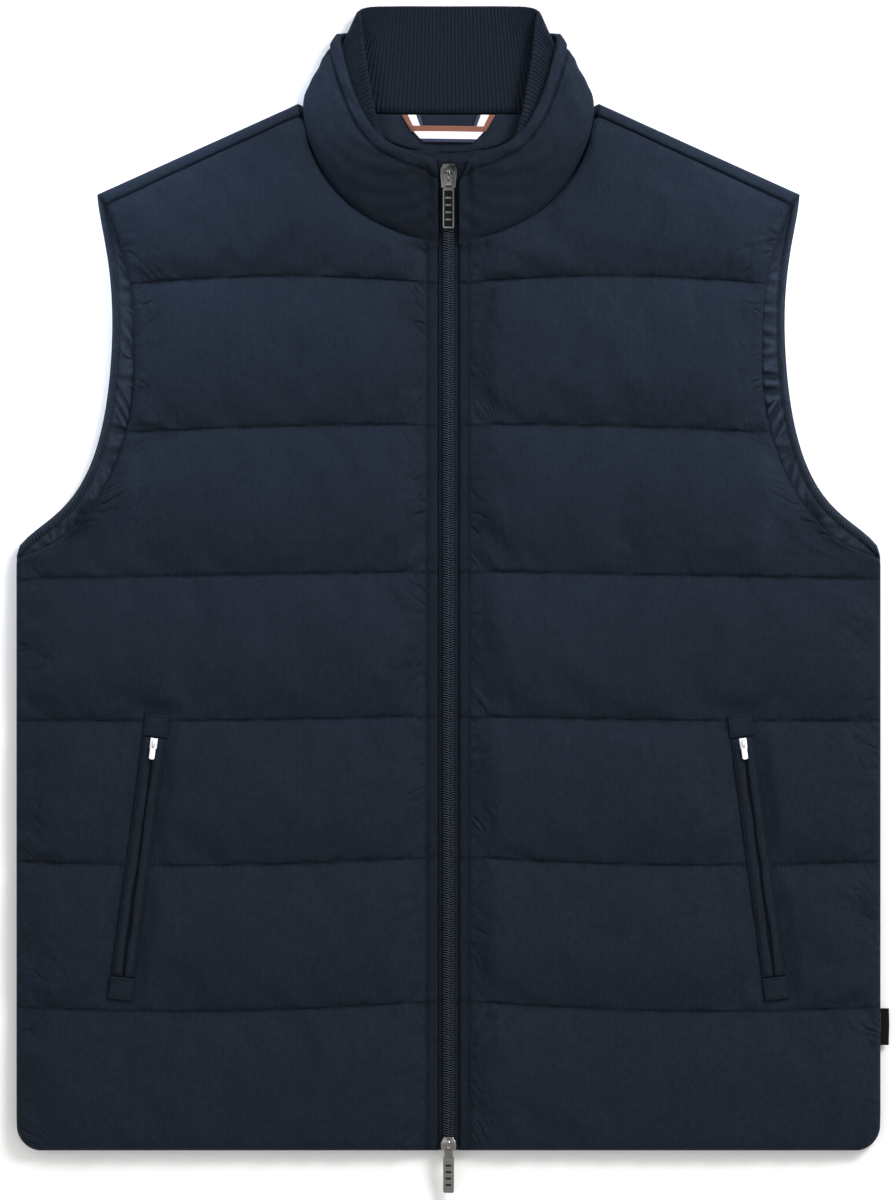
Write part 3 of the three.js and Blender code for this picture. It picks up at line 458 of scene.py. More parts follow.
def make_cloth(name, color, valley, pitch=1.9, weft=1.1, cord_depth=0.35, bump_mm=0.05, sheen=0.06,
               shaded=False, puckers=()):
    """A cloth material: the weave group feeds colour, roughness and a bump in real millimetres."""
    look, tree, shader = new_look(name)
    weave = tree.nodes.new("ShaderNodeGroup")
    weave.node_tree = WEAVE
    set_inputs(tree, weave, {"Cloth": color, "Valley": valley, "Cord Pitch": pitch, "Weft Pitch": weft,
                             "Cord Depth": cord_depth, "Patchiness": PATCHINESS})
    tone = weave.outputs["Color"]
    # Painted light and shade: the colour is scaled by the mesh's shade attribute, below 1 for painted shade
    # and above 1 for painted light.
    if shaded:
        tone = scale_vector(tree, tone, read_attribute(tree, "shade"))
    normal = add_bump(tree, weave.outputs["Height"], bump_mm)
    for mark, depth_mm in puckers:
        normal = add_puckers(tree, mark, depth_mm, normal)
    set_inputs(tree, shader, {
        "Base Color": tone, "Roughness": weave.outputs["Roughness"], "Normal": normal,
        "Specular IOR Level": 0.1, "Sheen Weight": sheen, "Sheen Roughness": 0.5, "Sheen Tint": SHEEN_TINT,
    })
    return look


# %% The cloths
NAVY = srgb(21, 28.5, 39)
NAVY_DEEP = srgb(14, 20, 28)
shell_cloth = make_cloth("shell_cloth", NAVY, NAVY_DEEP)
front_cloth = make_cloth("front_shell_cloth", NAVY, NAVY_DEEP, shaded=True,
                         puckers=(("fan", 1.0), ("tick", 0.35)))
collar_cloth = make_cloth("collar_cloth", NAVY, NAVY_DEEP, shaded=True)
armhole_cloth = make_cloth("armhole_facing_cloth", srgb(31, 38, 49), srgb(20, 26, 35), 1.5, bump_mm=0.03,
                           shaded=True)
trim_cloth = make_cloth("trim_cloth", srgb(20, 27, 36), NAVY_DEEP, 1.5, bump_mm=0.03, shaded=True)
rib_cloth = make_cloth("rib_knit_cloth", srgb(21, 28, 38), srgb(10, 15, 22), 0.9, 1.5, 0.3)
facing_cloth = make_cloth("facing_cloth", srgb(25, 32, 42), srgb(18, 24, 32), 0.6, 0.6, 0.2, 0.015)
lining_cloth = make_cloth("lining_cloth", srgb(20, 26, 36), srgb(13, 18, 26), 0.5, 0.5, 0.2, 0.01)
tape_cloth = make_cloth("zip_tape_cloth", srgb(20, 27, 37), srgb(9, 13, 19), 1.2, 0.8, 0.6, 0.06, 0.02)
# The pocket zip's near-black is partly its own dark tape and partly painted shade of the slit between the
# welts.
pocket_zip_cloth = make_cloth("pocket_zip_cloth", srgb(8, 11, 16), srgb(4, 6, 9), 1.2, 0.8, 0.6, 0.06, 0.0)
thread_look = make_cloth("thread", srgb(20, 26, 36), srgb(12, 16, 23), 0.3, 0.3, 0.4, 0.02, 0.02)
label_cloth = make_cloth("label_cloth", srgb(13, 14, 16), srgb(8, 8, 10), 0.4, 0.5, 0.3, 0.02, 0.0)
print("cloths:", [m.name for m in bpy.data.materials if "cloth" in m.name])


# %% The metals and the enamel
GRAIN_SCALE = 2.6
GRAIN_DEPTH = 0.01


def make_hard(name, color, roughness, metallic, scratches=0.3, specular=0.5, painted_reflection_tone=1.0):
    """A hard finish with a faint grain. Faces turned up get a painted reflection, scaled by the tone given.
    """
    look, tree, shader = new_look(name)
    grain = add_noise(tree, object_millimetres(tree), GRAIN_SCALE, 4.0)
    tone = add_mix(tree, grain, color, tuple(0.8 * c for c in color[:3]) + (1.0,))
    normal = add_node(tree, "ShaderNodeNewGeometry", {}, "Normal")
    facing = add_node(tree, "ShaderNodeVectorMath", {0: normal, 1: (0, 0, 1)}, "Value",
                      operation="DOT_PRODUCT")
    ahead = add_math(tree, "POWER", add_math(tree, "ABSOLUTE", facing), 4)
    painted_reflection = plus(tree, times(tree, ahead, painted_reflection_tone - 1), 1)
    set_inputs(tree, shader, {
        "Base Color": scale_vector(tree, tone, painted_reflection),
        "Roughness": plus(tree, times(tree, grain, scratches), roughness),
        "Normal": add_bump(tree, grain, GRAIN_DEPTH), "Metallic": metallic, "Specular IOR Level": specular,
    })
    return look


# Nickel, its darker copy and gunmetal all take a painted dark reflection on faces turned up; the darker
# copy is nickel with more of it.
nickel = make_hard("satin_nickel", srgb(214, 215, 218), 0.12, 1.0, 0.1, painted_reflection_tone=0.16)
nickel_painted_dark = make_hard("nickel_painted_dark", srgb(214, 215, 218), 0.12, 1.0, 0.1, painted_reflection_tone=0.03)
# Black enamel fills the pulls' recesses; the same black also paints the shadow in the top pull's hole and
# slot.
black_enamel_and_painted_shade = make_hard("black_enamel_and_painted_shade", srgb(15, 18, 18), 0.4, 0.0, 0.1, specular=0.06)
gunmetal = make_hard("gunmetal", srgb(204, 202, 198), 0.13, 1.0, 0.12, painted_reflection_tone=0.3)
# The teeth are dark with a painted highlight on their tops.
teeth_look = make_hard("zip_teeth", srgb(18, 22, 28), 0.35, 0.0, specular=0.2, painted_reflection_tone=10)
white_enamel = make_hard("white_enamel", srgb(236, 235, 240), 0.25, 0.0, 0.1)

# %% [markdown]
# ## The front's outline
#
# A pattern cutter draws a front as a few curves: the hem, the side, the armhole, the shoulder and
# the neck. The same curves are used here as in the solid model. Each is sampled finely, so that a
# share of its length can be looked up for a whole array at once.


# %% Curves by share of their length
def bezier(start, first, second, end, count=160):
    """A cubic curve: its four points weighted by (1-t)^3, 3t(1-t)^2, 3t^2(1-t) and t^3."""
    t = np.linspace(0, 1, count)[:, None]
    corners = [np.array(p, dtype=float) for p in (start, first, second, end)]
    weights = [(1 - t) ** 3, 3 * t * (1 - t) ** 2, 3 * t * t * (1 - t), t ** 3]
    return sum(weight * corner for weight, corner in zip(weights, corners))


def make_path(*runs):
    """Runs of points joined end to end, with the share of the length reached at each point."""
    points = np.concatenate([np.asarray(run, dtype=float) for run in runs])
    steps = np.linalg.norm(np.diff(points, axis=0), axis=1)
    points = points[np.concatenate([[True], steps > 1e-9])]
    lengths = run_lengths(points)
    return points, lengths / lengths[-1]


def along(path, share):
    """Points at shares of a path's length."""
    points, shares = path
    return np.stack([np.interp(share, shares, points[:, axis]) for axis in (0, 1)], -1)


def path_length(path):
    """A path's length."""
    return float(np.linalg.norm(np.diff(path[0], axis=0), axis=1).sum())


HALF_CHEST = 279.7
HEM_CORNER = 16.0
CORNER_PULL = HEM_CORNER * 0.448
ZIP_EDGE = 6.6
FRONT_UNDERARM = 384.0
FRONT_TIP = (221.5, 611.8)
FRONT_NECK = (94.4, 670.3)
hem_corner = bezier((HALF_CHEST - HEM_CORNER, 0), (HALF_CHEST - CORNER_PULL, 0),
                    (HALF_CHEST, CORNER_PULL), (HALF_CHEST, HEM_CORNER))
front_armhole = make_path(
    bezier((HALF_CHEST, FRONT_UNDERARM), (229.9, 392), (199, 459.3), (203.5, 520)),
    bezier((203.5, 520), (201.2, 563.8), (214.9, 594.9), FRONT_TIP))
front_side = make_path(hem_corner, front_armhole[0])
neck_seam = make_path(bezier((ZIP_EDGE, 587.2), (54, 596), (89.6, 621), FRONT_NECK))
front_top = make_path(neck_seam[0], [FRONT_TIP])
print("front's side edge", round(path_length(front_side)), "mm, top", round(path_length(front_top)), "mm")

# %% [markdown]
# ## The quilted fronts
#
# Each front is a shell and a lining with wadding between them, sewn together along six seams, so
# it rises into seven soft channels. Pillows worked out by formula look like plastic. Here a plan of
# the panel is turned into cloth that is a little too big for its place, held along its seams and
# blown up from inside by Blender's cloth simulation. The spare cloth crumples into puckers beside
# the seams, as it does on the real thing.

# %% The front's sizes
SIDES = ((1, "right"), (-1, "left"))
FRONT_INSIDE = 7.3
SEAM_THICK = 3.0
TOPSTITCH = 6.9
CHANNEL_HIGH = 94
QUILT_SEAMS = ((0.0, 0.0, 0.0), (97.7, 90.5, 93.5), (190.8, 185.0, 187.5), (281.6, 278.7, 278.5),
               (375.1, 372.5, 370.0), (470.2, 468.8, 465.0), (562.0, 565.9, 561.0))
PUFF = 7.5
COLUMN_COUNT = 62
ROW_COUNT = 23
POCKET = {"x": 200.3, "y": 190.1, "slant": math.radians(7.56), "half": 78.3, "tab": 15.0}
POCKET_LIFT = 0.8
FAR = 99


# %% The plan of a front
def toward_ends(count, squeeze=0.4):
    """Shares from 0 to 1 that lie closer together at both ends: t - squeeze sin(2 pi t) / 2 pi."""
    t = np.linspace(0, 1, count)
    return t - squeeze * np.sin(2 * math.pi * t) / (2 * math.pi)


def column_distances(width):
    """Distances from the zip's edge: the pressed strip, then the panel, fine at its side edge."""
    strip = np.array([0, 0.8, 2.6, 4.8])
    panel = TOPSTITCH + (width - 5 - TOPSTITCH) * toward_ends(COLUMN_COUNT)
    edge = width - np.array([3.2, 1.8, 0.8, 0.2, 0.0])
    return np.concatenate([strip, panel, edge])


def seam_edge(level):
    """A quilting seam from the zip to the side: a parabola through three heights."""
    at_zip, middle, at_side = QUILT_SEAMS[level]
    start = np.interp(max(at_side, 1e-6), front_side[0][:, 1], front_side[1])
    end = along(front_side, start)
    width = end[0] - ZIP_EDGE
    share = column_distances(width) / width
    bow = middle - (at_zip + at_side) / 2
    height = mix(at_zip, at_side, share) + 4 * bow * share * (1 - share)
    return np.stack([ZIP_EDGE + share * width, height], -1), share, float(start)


def top_edge():
    """The neck seam and the shoulder seam as one edge."""
    length = path_length(front_top)
    share = column_distances(length) / length
    return along(front_top, share), share, 1.0


def front_plan():
    """Rows of places on the front and, for each row, its band and its share of the way up it."""
    edges = [seam_edge(level) for level in range(len(QUILT_SEAMS))] + [top_edge()]
    shares_up = toward_ends(ROW_COUNT, 0.8)
    rows = []
    for band, (low, high) in enumerate(zip(edges[:-1], edges[1:])):
        last = band == len(edges) - 2
        up = (shares_up if last else shares_up[:-1])[:, None, None]
        across = mix(low[1], high[1], up[..., 0])[..., None]
        place = mix(low[0][None], high[0][None], up)
        side = along(front_side, mix(low[2], high[2], up[:, 0, 0]))[:, None]
        zip_side = join(ZIP_EDGE, mix(low[0][0, 1], high[0][0, 1], up[:, :, 0]))
        place = place + (zip_side - place[:, :1]) * (1 - across) + (side - place[:, -1:]) * across
        rows.append((place, np.full(len(place), band), up[:, 0, 0], across[..., 0]))
    return [np.concatenate(parts) for parts in zip(*rows)]


PLAN, BAND, UP, ACROSS = front_plan()
ROWS, COLUMNS = PLAN.shape[:2]
print("front grid", ROWS, "rows of", COLUMNS)


# %% How thick the front is before it is blown up
def pocket_press(x, y):
    """1 where the pocket's pieces press the panel flat, falling to 0 beside them."""
    dx, dy = x - POCKET["x"], y - POCKET["y"]
    across = np.abs(dx * math.cos(POCKET["slant"]) + dy * math.sin(POCKET["slant"]))
    lengthwise = np.abs(dy * math.cos(POCKET["slant"]) - dx * math.sin(POCKET["slant"]))
    end = POCKET["half"] + POCKET["tab"] + 1
    return (1 - smooth(8.6, 17, across)) * (1 - smooth(end, end + 9, lengthwise))


def pillow(up):
    """A channel's rise between its seams, fullest just below its middle: (1 - |2u - 1|^2.6)^0.6."""
    return (1 - np.abs(2 * up ** 0.92 - 1) ** 2.6) ** 0.6


FROM_ZIP = PLAN[..., 0] - ZIP_EDGE
FROM_STITCH = np.abs(FROM_ZIP - TOPSTITCH)
FROM_SIDE = np.linalg.norm(PLAN - PLAN[:, -1:], axis=-1)
FREE = np.minimum(FROM_SIDE, PLAN[..., 1])
BELOW_SEAM = (1 - UP)[:, None] * CHANNEL_HIGH
FROM_SEAM = np.minimum(np.where(BAND > 0, UP * CHANNEL_HIGH, FAR)[:, None], BELOW_SEAM)
PRESS = pocket_press(PLAN[..., 0], PLAN[..., 1])
IN_CHANNEL = pillow(UP)[:, None] * np.ones(COLUMNS)
HEM_BAND = (BAND == 0) & (UP < 0.5)
IN_CHANNEL[HEM_BAND] = np.maximum(IN_CHANNEL[HEM_BAND], 0.45)
BESIDE_ZIP = smooth(TOPSTITCH, TOPSTITCH + 20, FROM_ZIP)
BESIDE_SIDE = 0.45 + 0.55 * smooth(0, 26, FROM_SIDE)


# %% Blow one front up
# The cloth is 3 per cent too big for its place. A point may move 9 mm at the most.
SPARE_CLOTH = 0.03
MOVE_CAP = 9.0
SIMULATION_FRAMES = 26
HELD_EDGE = 3.4
HELD_PRESS = 0.55
CLOTH_SETTINGS = {
    "vertex_group_mass": "held", "quality": 6, "mass": 0.25, "tension_stiffness": 18,
    "compression_stiffness": 14, "shear_stiffness": 7, "bending_stiffness": 1.2, "air_damping": 3,
    "use_pressure": True, "uniform_pressure_force": 6.0, "shrink_min": -SPARE_CLOTH,
}


def simulate_front(start):
    """Where the panel goes as loose cloth: held at its seams and edges, too big, under pressure."""
    points = np.concatenate([PLAN, start[..., None]], -1)
    mesh = new_mesh("front_cloth", to_frame(points), grid_quads(ROWS, COLUMNS))
    obj = new_object("front_cloth", mesh)
    seam_row = ((UP < 1e-6) | (UP > 1 - 1e-6))[:, None]
    held = seam_row | (FROM_ZIP <= TOPSTITCH + 0.1) | (FROM_SIDE < HELD_EDGE) | (PRESS > HELD_PRESS)
    group = obj.vertex_groups.new(name="held")
    group.add(np.flatnonzero(held.ravel()).tolist(), 1.0, "REPLACE")
    cloth = obj.modifiers.new("Cloth", "CLOTH")
    for name, value in CLOTH_SETTINGS.items():
        setattr(cloth.settings, name, value)
    cloth.settings.effector_weights.gravity = 0
    cloth.collision_settings.use_self_collision = False
    cloth.point_cache.frame_start = 1
    cloth.point_cache.frame_end = SIMULATION_FRAMES
    scene = bpy.context.scene
    for number in range(1, SIMULATION_FRAMES + 1):
        scene.frame_set(number)
    settled = obj.evaluated_get(bpy.context.evaluated_depsgraph_get()).data
    result = np.zeros(ROWS * COLUMNS * 3, dtype=np.float32)
    settled.vertices.foreach_get("co", result)
    scene.frame_set(1)
    bpy.data.objects.remove(obj)
    bpy.data.meshes.remove(mesh)
    result = result.reshape(ROWS, COLUMNS, 3).astype(float) / MM
    result[..., 1] += ORIGIN_UP
    moved = result - points
    reach = np.linalg.norm(moved, axis=-1, keepdims=True)
    moved *= np.minimum(1, MOVE_CAP / np.maximum(reach, 1e-9))
    print("front_cloth moved up to", round(float(reach.max()), 1), "mm")
    return points + moved


# %% Creases that are placed one by one
# The main creases, each from one pixel of the photograph to another, with its depth and half width
# in millimetres. A positive depth is a trough.
CREASES_RIGHT = (
    (480, 640, 516, 716, 1.6, 7), (735, 688, 727, 716, 1.4, 5), (776, 680, 753, 714, 1.5, 5),
    (772, 452, 762, 566, -2.2, 9), (800, 470, 838, 566, 2.2, 8), (812, 508, 836, 540, 1.6, 6),
    (876, 640, 846, 632, 1.2, 5), (878, 696, 838, 706, 1.3, 6), (878, 815, 850, 842, 1.4, 6),
    (878, 908, 846, 915, 1.2, 6), (876, 990, 845, 1000, 1.2, 5), (800, 930, 838, 968, 1.2, 6),
    (872, 1100, 850, 1142, 1.3, 6), (700, 690, 722, 716, 1.0, 5), (500, 436, 530, 470, 1.0, 7),
    (478, 300, 500, 330, 0.9, 6), (478, 566, 470, 520, 1.0, 6), (480, 800, 500, 850, 1.1, 6),
    (596, 870, 640, 886, 0.8, 8), (760, 884, 794, 912, 1.1, 6), (469, 377, 514, 422, 1.6, 5),
    (469, 433, 509, 475, 1.3, 5), (472, 454, 517, 496, 1.2, 5), (469, 496, 509, 559, 1.7, 6),
    (482, 517, 519, 572, 1.2, 5), (469, 354, 504, 338, 1.0, 5), (469, 338, 493, 318, 1.1, 4),
    (467, 309, 498, 293, 1.0, 5), (835, 543, 877, 572, 1.3, 5), (806, 520, 850, 566, 1.3, 5),
    (470, 610, 500, 660, 1.2, 5), (470, 660, 492, 710, 1.2, 5), (470, 950, 505, 1000, 1.1, 6),
    (730, 300, 750, 330, 0.8, 7), (560, 880, 620, 930, 0.7, 9),
)
CREASES_LEFT = (
    (124, 448, 137, 567, -2.4, 9), (100, 470, 60, 566, 2.2, 8), (87, 512, 62, 548, 1.8, 6),
    (20, 606, 56, 614, 1.4, 6), (20, 640, 52, 650, 1.0, 6), (20, 700, 58, 708, 1.4, 6),
    (105, 690, 140, 708, 1.6, 6), (143, 690, 158, 714, 1.2, 5), (20, 812, 52, 846, 1.5, 7),
    (20, 850, 60, 860, 1.2, 5), (22, 1064, 60, 1142, 1.6, 8), (20, 1010, 60, 1040, 1.2, 6),
    (416, 640, 388, 716, 1.3, 7), (418, 800, 396, 850, 1.1, 6), (418, 436, 392, 470, 1.0, 7),
    (414, 300, 392, 330, 0.9, 6), (414, 1016, 392, 1046, 1.0, 6), (160, 770, 200, 790, 0.8, 7),
    (20, 930, 54, 946, 1.2, 6), (60, 880, 100, 930, 1.1, 7), (118, 452, 129, 548, 2.2, 4),
    (95, 506, 53, 567, 1.6, 5), (107, 480, 84, 566, 1.5, 6), (395, 288, 424, 335, 1.3, 5),
    (405, 310, 428, 342, 1.0, 4), (372, 402, 420, 384, 0.9, 5), (404, 524, 426, 500, 0.9, 4),
    (380, 562, 420, 520, 1.1, 5), (392, 600, 424, 640, 1.1, 5), (400, 760, 424, 735, 0.9, 5),
    (385, 940, 424, 900, 1.1, 6), (60, 590, 30, 568, 1.1, 5), (30, 760, 62, 742, 1.0, 6),
)


def crease_depth(x, y, creases, side):
    """Soft troughs, each a bell curve across its line that fades in and out along it."""
    depth = np.zeros_like(x)
    for x1, y1, x2, y2, deep, half in creases:
        (ax, ay), (bx, by) = pixel(x1, y1), pixel(x2, y2)
        ax, bx = ax * side, bx * side
        length = math.hypot(bx - ax, by - ay)
        lengthwise = ((x - ax) * (bx - ax) + (y - ay) * (by - ay)) / length ** 2
        across = ((x - ax) * (by - ay) - (y - ay) * (bx - ax)) / length
        across = across + 1.5 * np.sin(lengthwise * 5 + deep * 9)
        fade = smooth(-0.25, 0.3, lengthwise) * (1 - smooth(0.7, 1.2, lengthwise))
        depth += deep * fade * bell(across, half)
    return depth


# %% From blown-up cloth to a finished front
LUMPS = 0.16
CRINKLES = 0.55
OVERHANG = 1.3
CREASE_SHADE = 0.085
THINNEST = 1.6
EDGE_RADIUS = 4.5
FOLD_RADIUS = 1.6
NECK_LIFT = 2.4


def soften(field, reach):
    """The mean over a window of the grid, from the difference of running sums on each axis."""
    for axis in (0, 1):
        pads = [(reach + 1, reach) if i == axis else (0, 0) for i in range(field.ndim)]
        total = np.cumsum(np.pad(field, pads, mode="edge"), axis=axis)
        size = field.shape[axis]
        high = np.take(total, np.arange(2 * reach + 1, 2 * reach + 1 + size), axis=axis)
        field = (high - np.take(total, np.arange(size), axis=axis)) / (2 * reach + 1)
    return field


def fan(distance, turn, pitch, reach, seed):
    """Puckers that fan out from an edge: ridges whose slope follows the way up the channel."""
    y = PLAN[..., 1]
    lean = y - turn * (2 * UP - 1)[:, None] * distance
    ridge = ripples(lean, 0.12 * distance, pitch, seed, waves=6)
    strength = 0.65 + 0.5 * ripples(y, 0 * y, 27, seed + 1)
    length = reach * (0.8 + 0.35 * ripples(y, 0 * y, 13, seed + 2))
    return ridge * np.clip(strength, 0, 1.5) * np.exp(-(distance / np.maximum(length, 2)) ** 1.5)


def front_points(seed, creases, side):
    """The front's outer face and inside face, in millimetres, as a right-hand panel."""
    x, y = PLAN[..., 0], PLAN[..., 1]
    channel = IN_CHANNEL * BESIDE_ZIP * BESIDE_SIDE * (1 - PRESS)
    uneven = 1 + 0.07 * ripples(x, y, 130, seed)
    start = FRONT_INSIDE + SEAM_THICK + PUFF * channel * uneven + POCKET_LIFT * PRESS
    start += 0.25 * ripples(x, y, 30, seed + 1) * channel
    flat = np.concatenate([PLAN, start[..., None]], -1)
    shell = flat.copy()
    moved = simulate_front(start) - flat
    lumps = soften(moved, 7)
    shell += LUMPS * lumps + CRINKLES * (moved - lumps)
    loose = np.minimum(channel * 1.6, 1)
    above = UP[:, None] * CHANNEL_HIGH * (BAND > 0)[:, None]
    shell[..., 1] -= OVERHANG * bell(above, 4.5) * smooth(0, 0.6, above) * loose
    shell[..., 2] -= crease_depth(x, y, creases, side) * loose
    from_seam = np.minimum(np.where(above > 0, above, FAR), BELOW_SEAM)
    near = smooth(0.2, 3.0, from_seam) * (1 - PRESS)
    shell[..., 2] += fan(FROM_STITCH, 1.0, 12, 17, seed + 2) * smooth(0, 2.5, FROM_STITCH) * near
    shell[..., 2] += 1.3 * fan(FROM_SIDE, 0.7, 19, 28, seed + 5) * smooth(0, 5, FROM_SIDE) * near
    shell[..., 2] += 0.22 * ripples(x, y * 0.4, 10, seed + 8) * np.exp(-from_seam / 7) * near
    shell[..., 2] += 0.14 * ripples(x, y, 20, seed + 9) * loose
    shell[..., 2] -= bell(FROM_STITCH, 1.3) * 0.8 * (1 - PRESS)
    thick = np.maximum(shell[..., 2] - FRONT_INSIDE, THINNEST)
    pressed_top = SEAM_THICK + POCKET_LIFT + 0.15
    thick = np.where(PRESS > 0.5, np.minimum(thick, pressed_top), thick)
    neck_lift = np.where(BAND == len(QUILT_SEAMS) - 1, smooth(0.7, 1, UP), 0)[:, None]
    thick += NECK_LIFT * neck_lift * np.minimum(1, 4 * (1 - ACROSS))
    thick = (thick - 0.4) * rounded(FREE, EDGE_RADIUS) * rounded(FROM_ZIP, FOLD_RADIUS)
    shell[..., 2] = FRONT_INSIDE + 0.4 + thick
    edge = (FREE < 0.3) | (FROM_ZIP < 0.3)
    shell[edge, :2] = PLAN[edge]
    return shell, join(x, y, FRONT_INSIDE)


def painted_seam_shade():
    """Painted shade: darker on the pressed strip and in the stitched seams, where shade falls."""
    strip = 1 - smooth(TOPSTITCH - 0.4, TOPSTITCH + 3, FROM_ZIP)
    return np.clip(1 - 0.3 * bell(FROM_SEAM, 1.1) - 0.26 * strip - 0.3 * bell(FROM_STITCH, 0.9), 0.3, 1)


def set_attribute(obj, name, values):
    """A number or a vector for each point of a wall, the same on both of its faces."""
    kind, field = ("FLOAT", "value") if values.ndim == 2 else ("FLOAT_VECTOR", "vector")
    layer = obj.data.attributes.new(name, kind, "POINT")
    layer.data.foreach_set(field, np.tile(values.ravel(), 2).astype(np.float32))


def pucker_marks(seed):
    """Where the fine creases run on a front: fans from the zip and side, ticks beside the seams."""
    x, y = PLAN[..., 0], PLAN[..., 1]
    up = UP[:, None]
    at_zip = FROM_ZIP < FROM_SIDE
    distance = np.where(at_zip, FROM_STITCH, FROM_SIDE)
    lean = y - np.where(at_zip, 1.25 * (2 * up - 1.2), 0.8 * (2 * up - 1)) * distance
    reach = np.where(at_zip, 21, 28) * (0.8 + 0.4 * ripples(y, 0 * y, 31, seed))
    fan_size = np.exp(-(distance / np.maximum(reach, 4)) ** 1.4) * smooth(0.3, 3, distance)
    fan_size = fan_size * (0.3 + 0.7 * smooth(0, 4, FROM_SEAM)) * (1 - PRESS) * (FROM_ZIP > TOPSTITCH)
    fan_size = fan_size * np.clip(0.8 + 0.7 * ripples(x, y, 17, seed + 3), 0, 1.5)
    fan_size = fan_size * np.clip(0.85 + 0.45 * ripples(y, 0 * y, 40, seed + 1), 0, 1.4)
    tick_size = np.exp(-FROM_SEAM / 4.5) * smooth(0, 1.2, FROM_SEAM) * (1 - PRESS)
    tick_size = tick_size * np.clip(0.8 + 0.5 * ripples(x, 0 * y, 22, seed + 2), 0, 1.4)
    return {
        "fan_place": join(lean / 7.5, distance / 15, np.where(at_zip, 0, 9.0)),
        "fan": fan_size,
        "tick_place": join(x / 3.4, FROM_SEAM / 13, BAND[:, None] * 3.0),
        "tick": tick_size,
    }


def mirror(points, side):
    """The same points on the left side, for side -1."""
    return points * np.array([side, 1, 1])


front_outsides = {}
for (side, label), seed, creases in zip(SIDES, (11, 47), (CREASES_RIGHT, CREASES_LEFT)):
    outer, inner = front_points(seed, creases, side)
    front_outsides[side] = outer
    shell = add_wall(f"front_shell_{label}", mirror(outer, side), mirror(inner, side), front_cloth,
                     [f"front_{label}"])
    # Painted shade in the creases' troughs and painted light on their ridges, on top of the painted seam
    # shade.
    painted_crease_shade = 1 - CREASE_SHADE * crease_depth(PLAN[..., 0], PLAN[..., 1], creases, side)
    set_attribute(shell, "shade", painted_seam_shade() * painted_crease_shade)
    for name, values in pucker_marks(seed + 20).items():
        set_attribute(shell, name, values)
    subdivide(shell)
    print(shell.name, len(shell.data.vertices), "points")


# %% Shapes that are repeated many times
def cap_quads(size, offset=0):
    """Four-sided faces that close a ring with an even number of points."""
    step = np.arange(1, size // 2)
    return np.stack([step - 1, step, size - 1 - step, size - step], -1) + offset


def tube(rings):
    """A closed tube through rings of points: its points and its four-sided faces."""
    count, size = rings.shape[:2]
    ends = [cap_quads(size)[:, ::-1], cap_quads(size, (count - 1) * size)]
    return rings.reshape(-1, 3), np.concatenate([ring_quads(count, size), *ends])


def repeat(shape, origins, axes):
    """Copies of a shape at many origins, each turned by three axis vectors: o + x a + y b + z c."""
    points, quads = shape
    placed = origins[:, None] + np.einsum("pi,nij->npj", points, axes)
    shifted = quads[None] + (np.arange(len(origins)) * len(points))[:, None, None]
    return placed.reshape(-1, 3), shifted.reshape(-1, 4)


def ring_of(radii_y, radii_z, x, sides=6, power=1.0):
    """Rings across X with half-sizes in Y and Z. A power below 1 squares their corners."""
    angle = np.arange(sides) / sides * 2 * math.pi + math.pi / sides
    cosine = np.sign(np.cos(angle)) * np.abs(np.cos(angle)) ** power
    sine = np.sign(np.sin(angle)) * np.abs(np.sin(angle)) ** power
    x, radii_y, radii_z = (np.asarray(v, dtype=float)[:, None] for v in (x, radii_y, radii_z))
    return np.stack([x + 0 * cosine, radii_y * cosine, radii_z * sine], -1)


# %% [markdown]
# ## Lines of stitches
#
# A machine leaves a row of short threads that sink a little into the cloth. Each thread is a small
# capsule with rounded ends. A row walks along a line on the cloth at an even pitch and sets one
# capsule at each step.

# %% Stitches
STITCH_PITCH = 3.1
stitch_shape = tube(ring_of([0.10, 0.26, 0.10], [0.08, 0.22, 0.08], [-1.1, 0, 1.1]))
stitches = []


def walk(line, pitch, start=0.5):
    """Places at an even pitch along a line of points, with the direction of travel at each."""
    lengths = run_lengths(line)

    def at(wanted):
        return join(*(np.interp(wanted, lengths, line[:, axis]) for axis in range(3)))

    steps = np.arange(start * pitch, lengths[-1], pitch)
    run = at(np.minimum(steps + 0.5, lengths[-1])) - at(np.maximum(steps - 0.5, 0))
    return at(steps), run / np.maximum(np.linalg.norm(run, axis=1, keepdims=True), 1e-9)


def sew(line, lift=0.12, up=(0, 0, 1), pitch=STITCH_PITCH):
    """Adds a row of stitches on a line of points in millimetres."""
    place, run = walk(line, pitch)
    across = np.cross(np.broadcast_to(up, run.shape), run)
    across /= np.maximum(np.linalg.norm(across, axis=1, keepdims=True), 1e-9)
    above = np.cross(run, across)
    stitches.append((place + lift * above, np.stack([run, across, above], 1)))


STITCH_COLUMN = 4
for side, outer in front_outsides.items():
    whole = mirror(outer, side)
    sew(whole[3:, STITCH_COLUMN], lift=0.35)
    for row in np.flatnonzero(UP == 0)[1:]:
        sew(whole[row, 2:-2], lift=0.3)
print("stitches on the fronts:", sum(len(places) for places, _ in stitches))

# %% [markdown]
# ## The back
#
# The back lies under everything. It is quilted like the fronts, but it rests on the table, so its
# outer face is flat between shallow seams. It shows at the sides, as a thin rounded edge, and at
# the shoulders, where it rolls forward over the top to the shoulder seam.

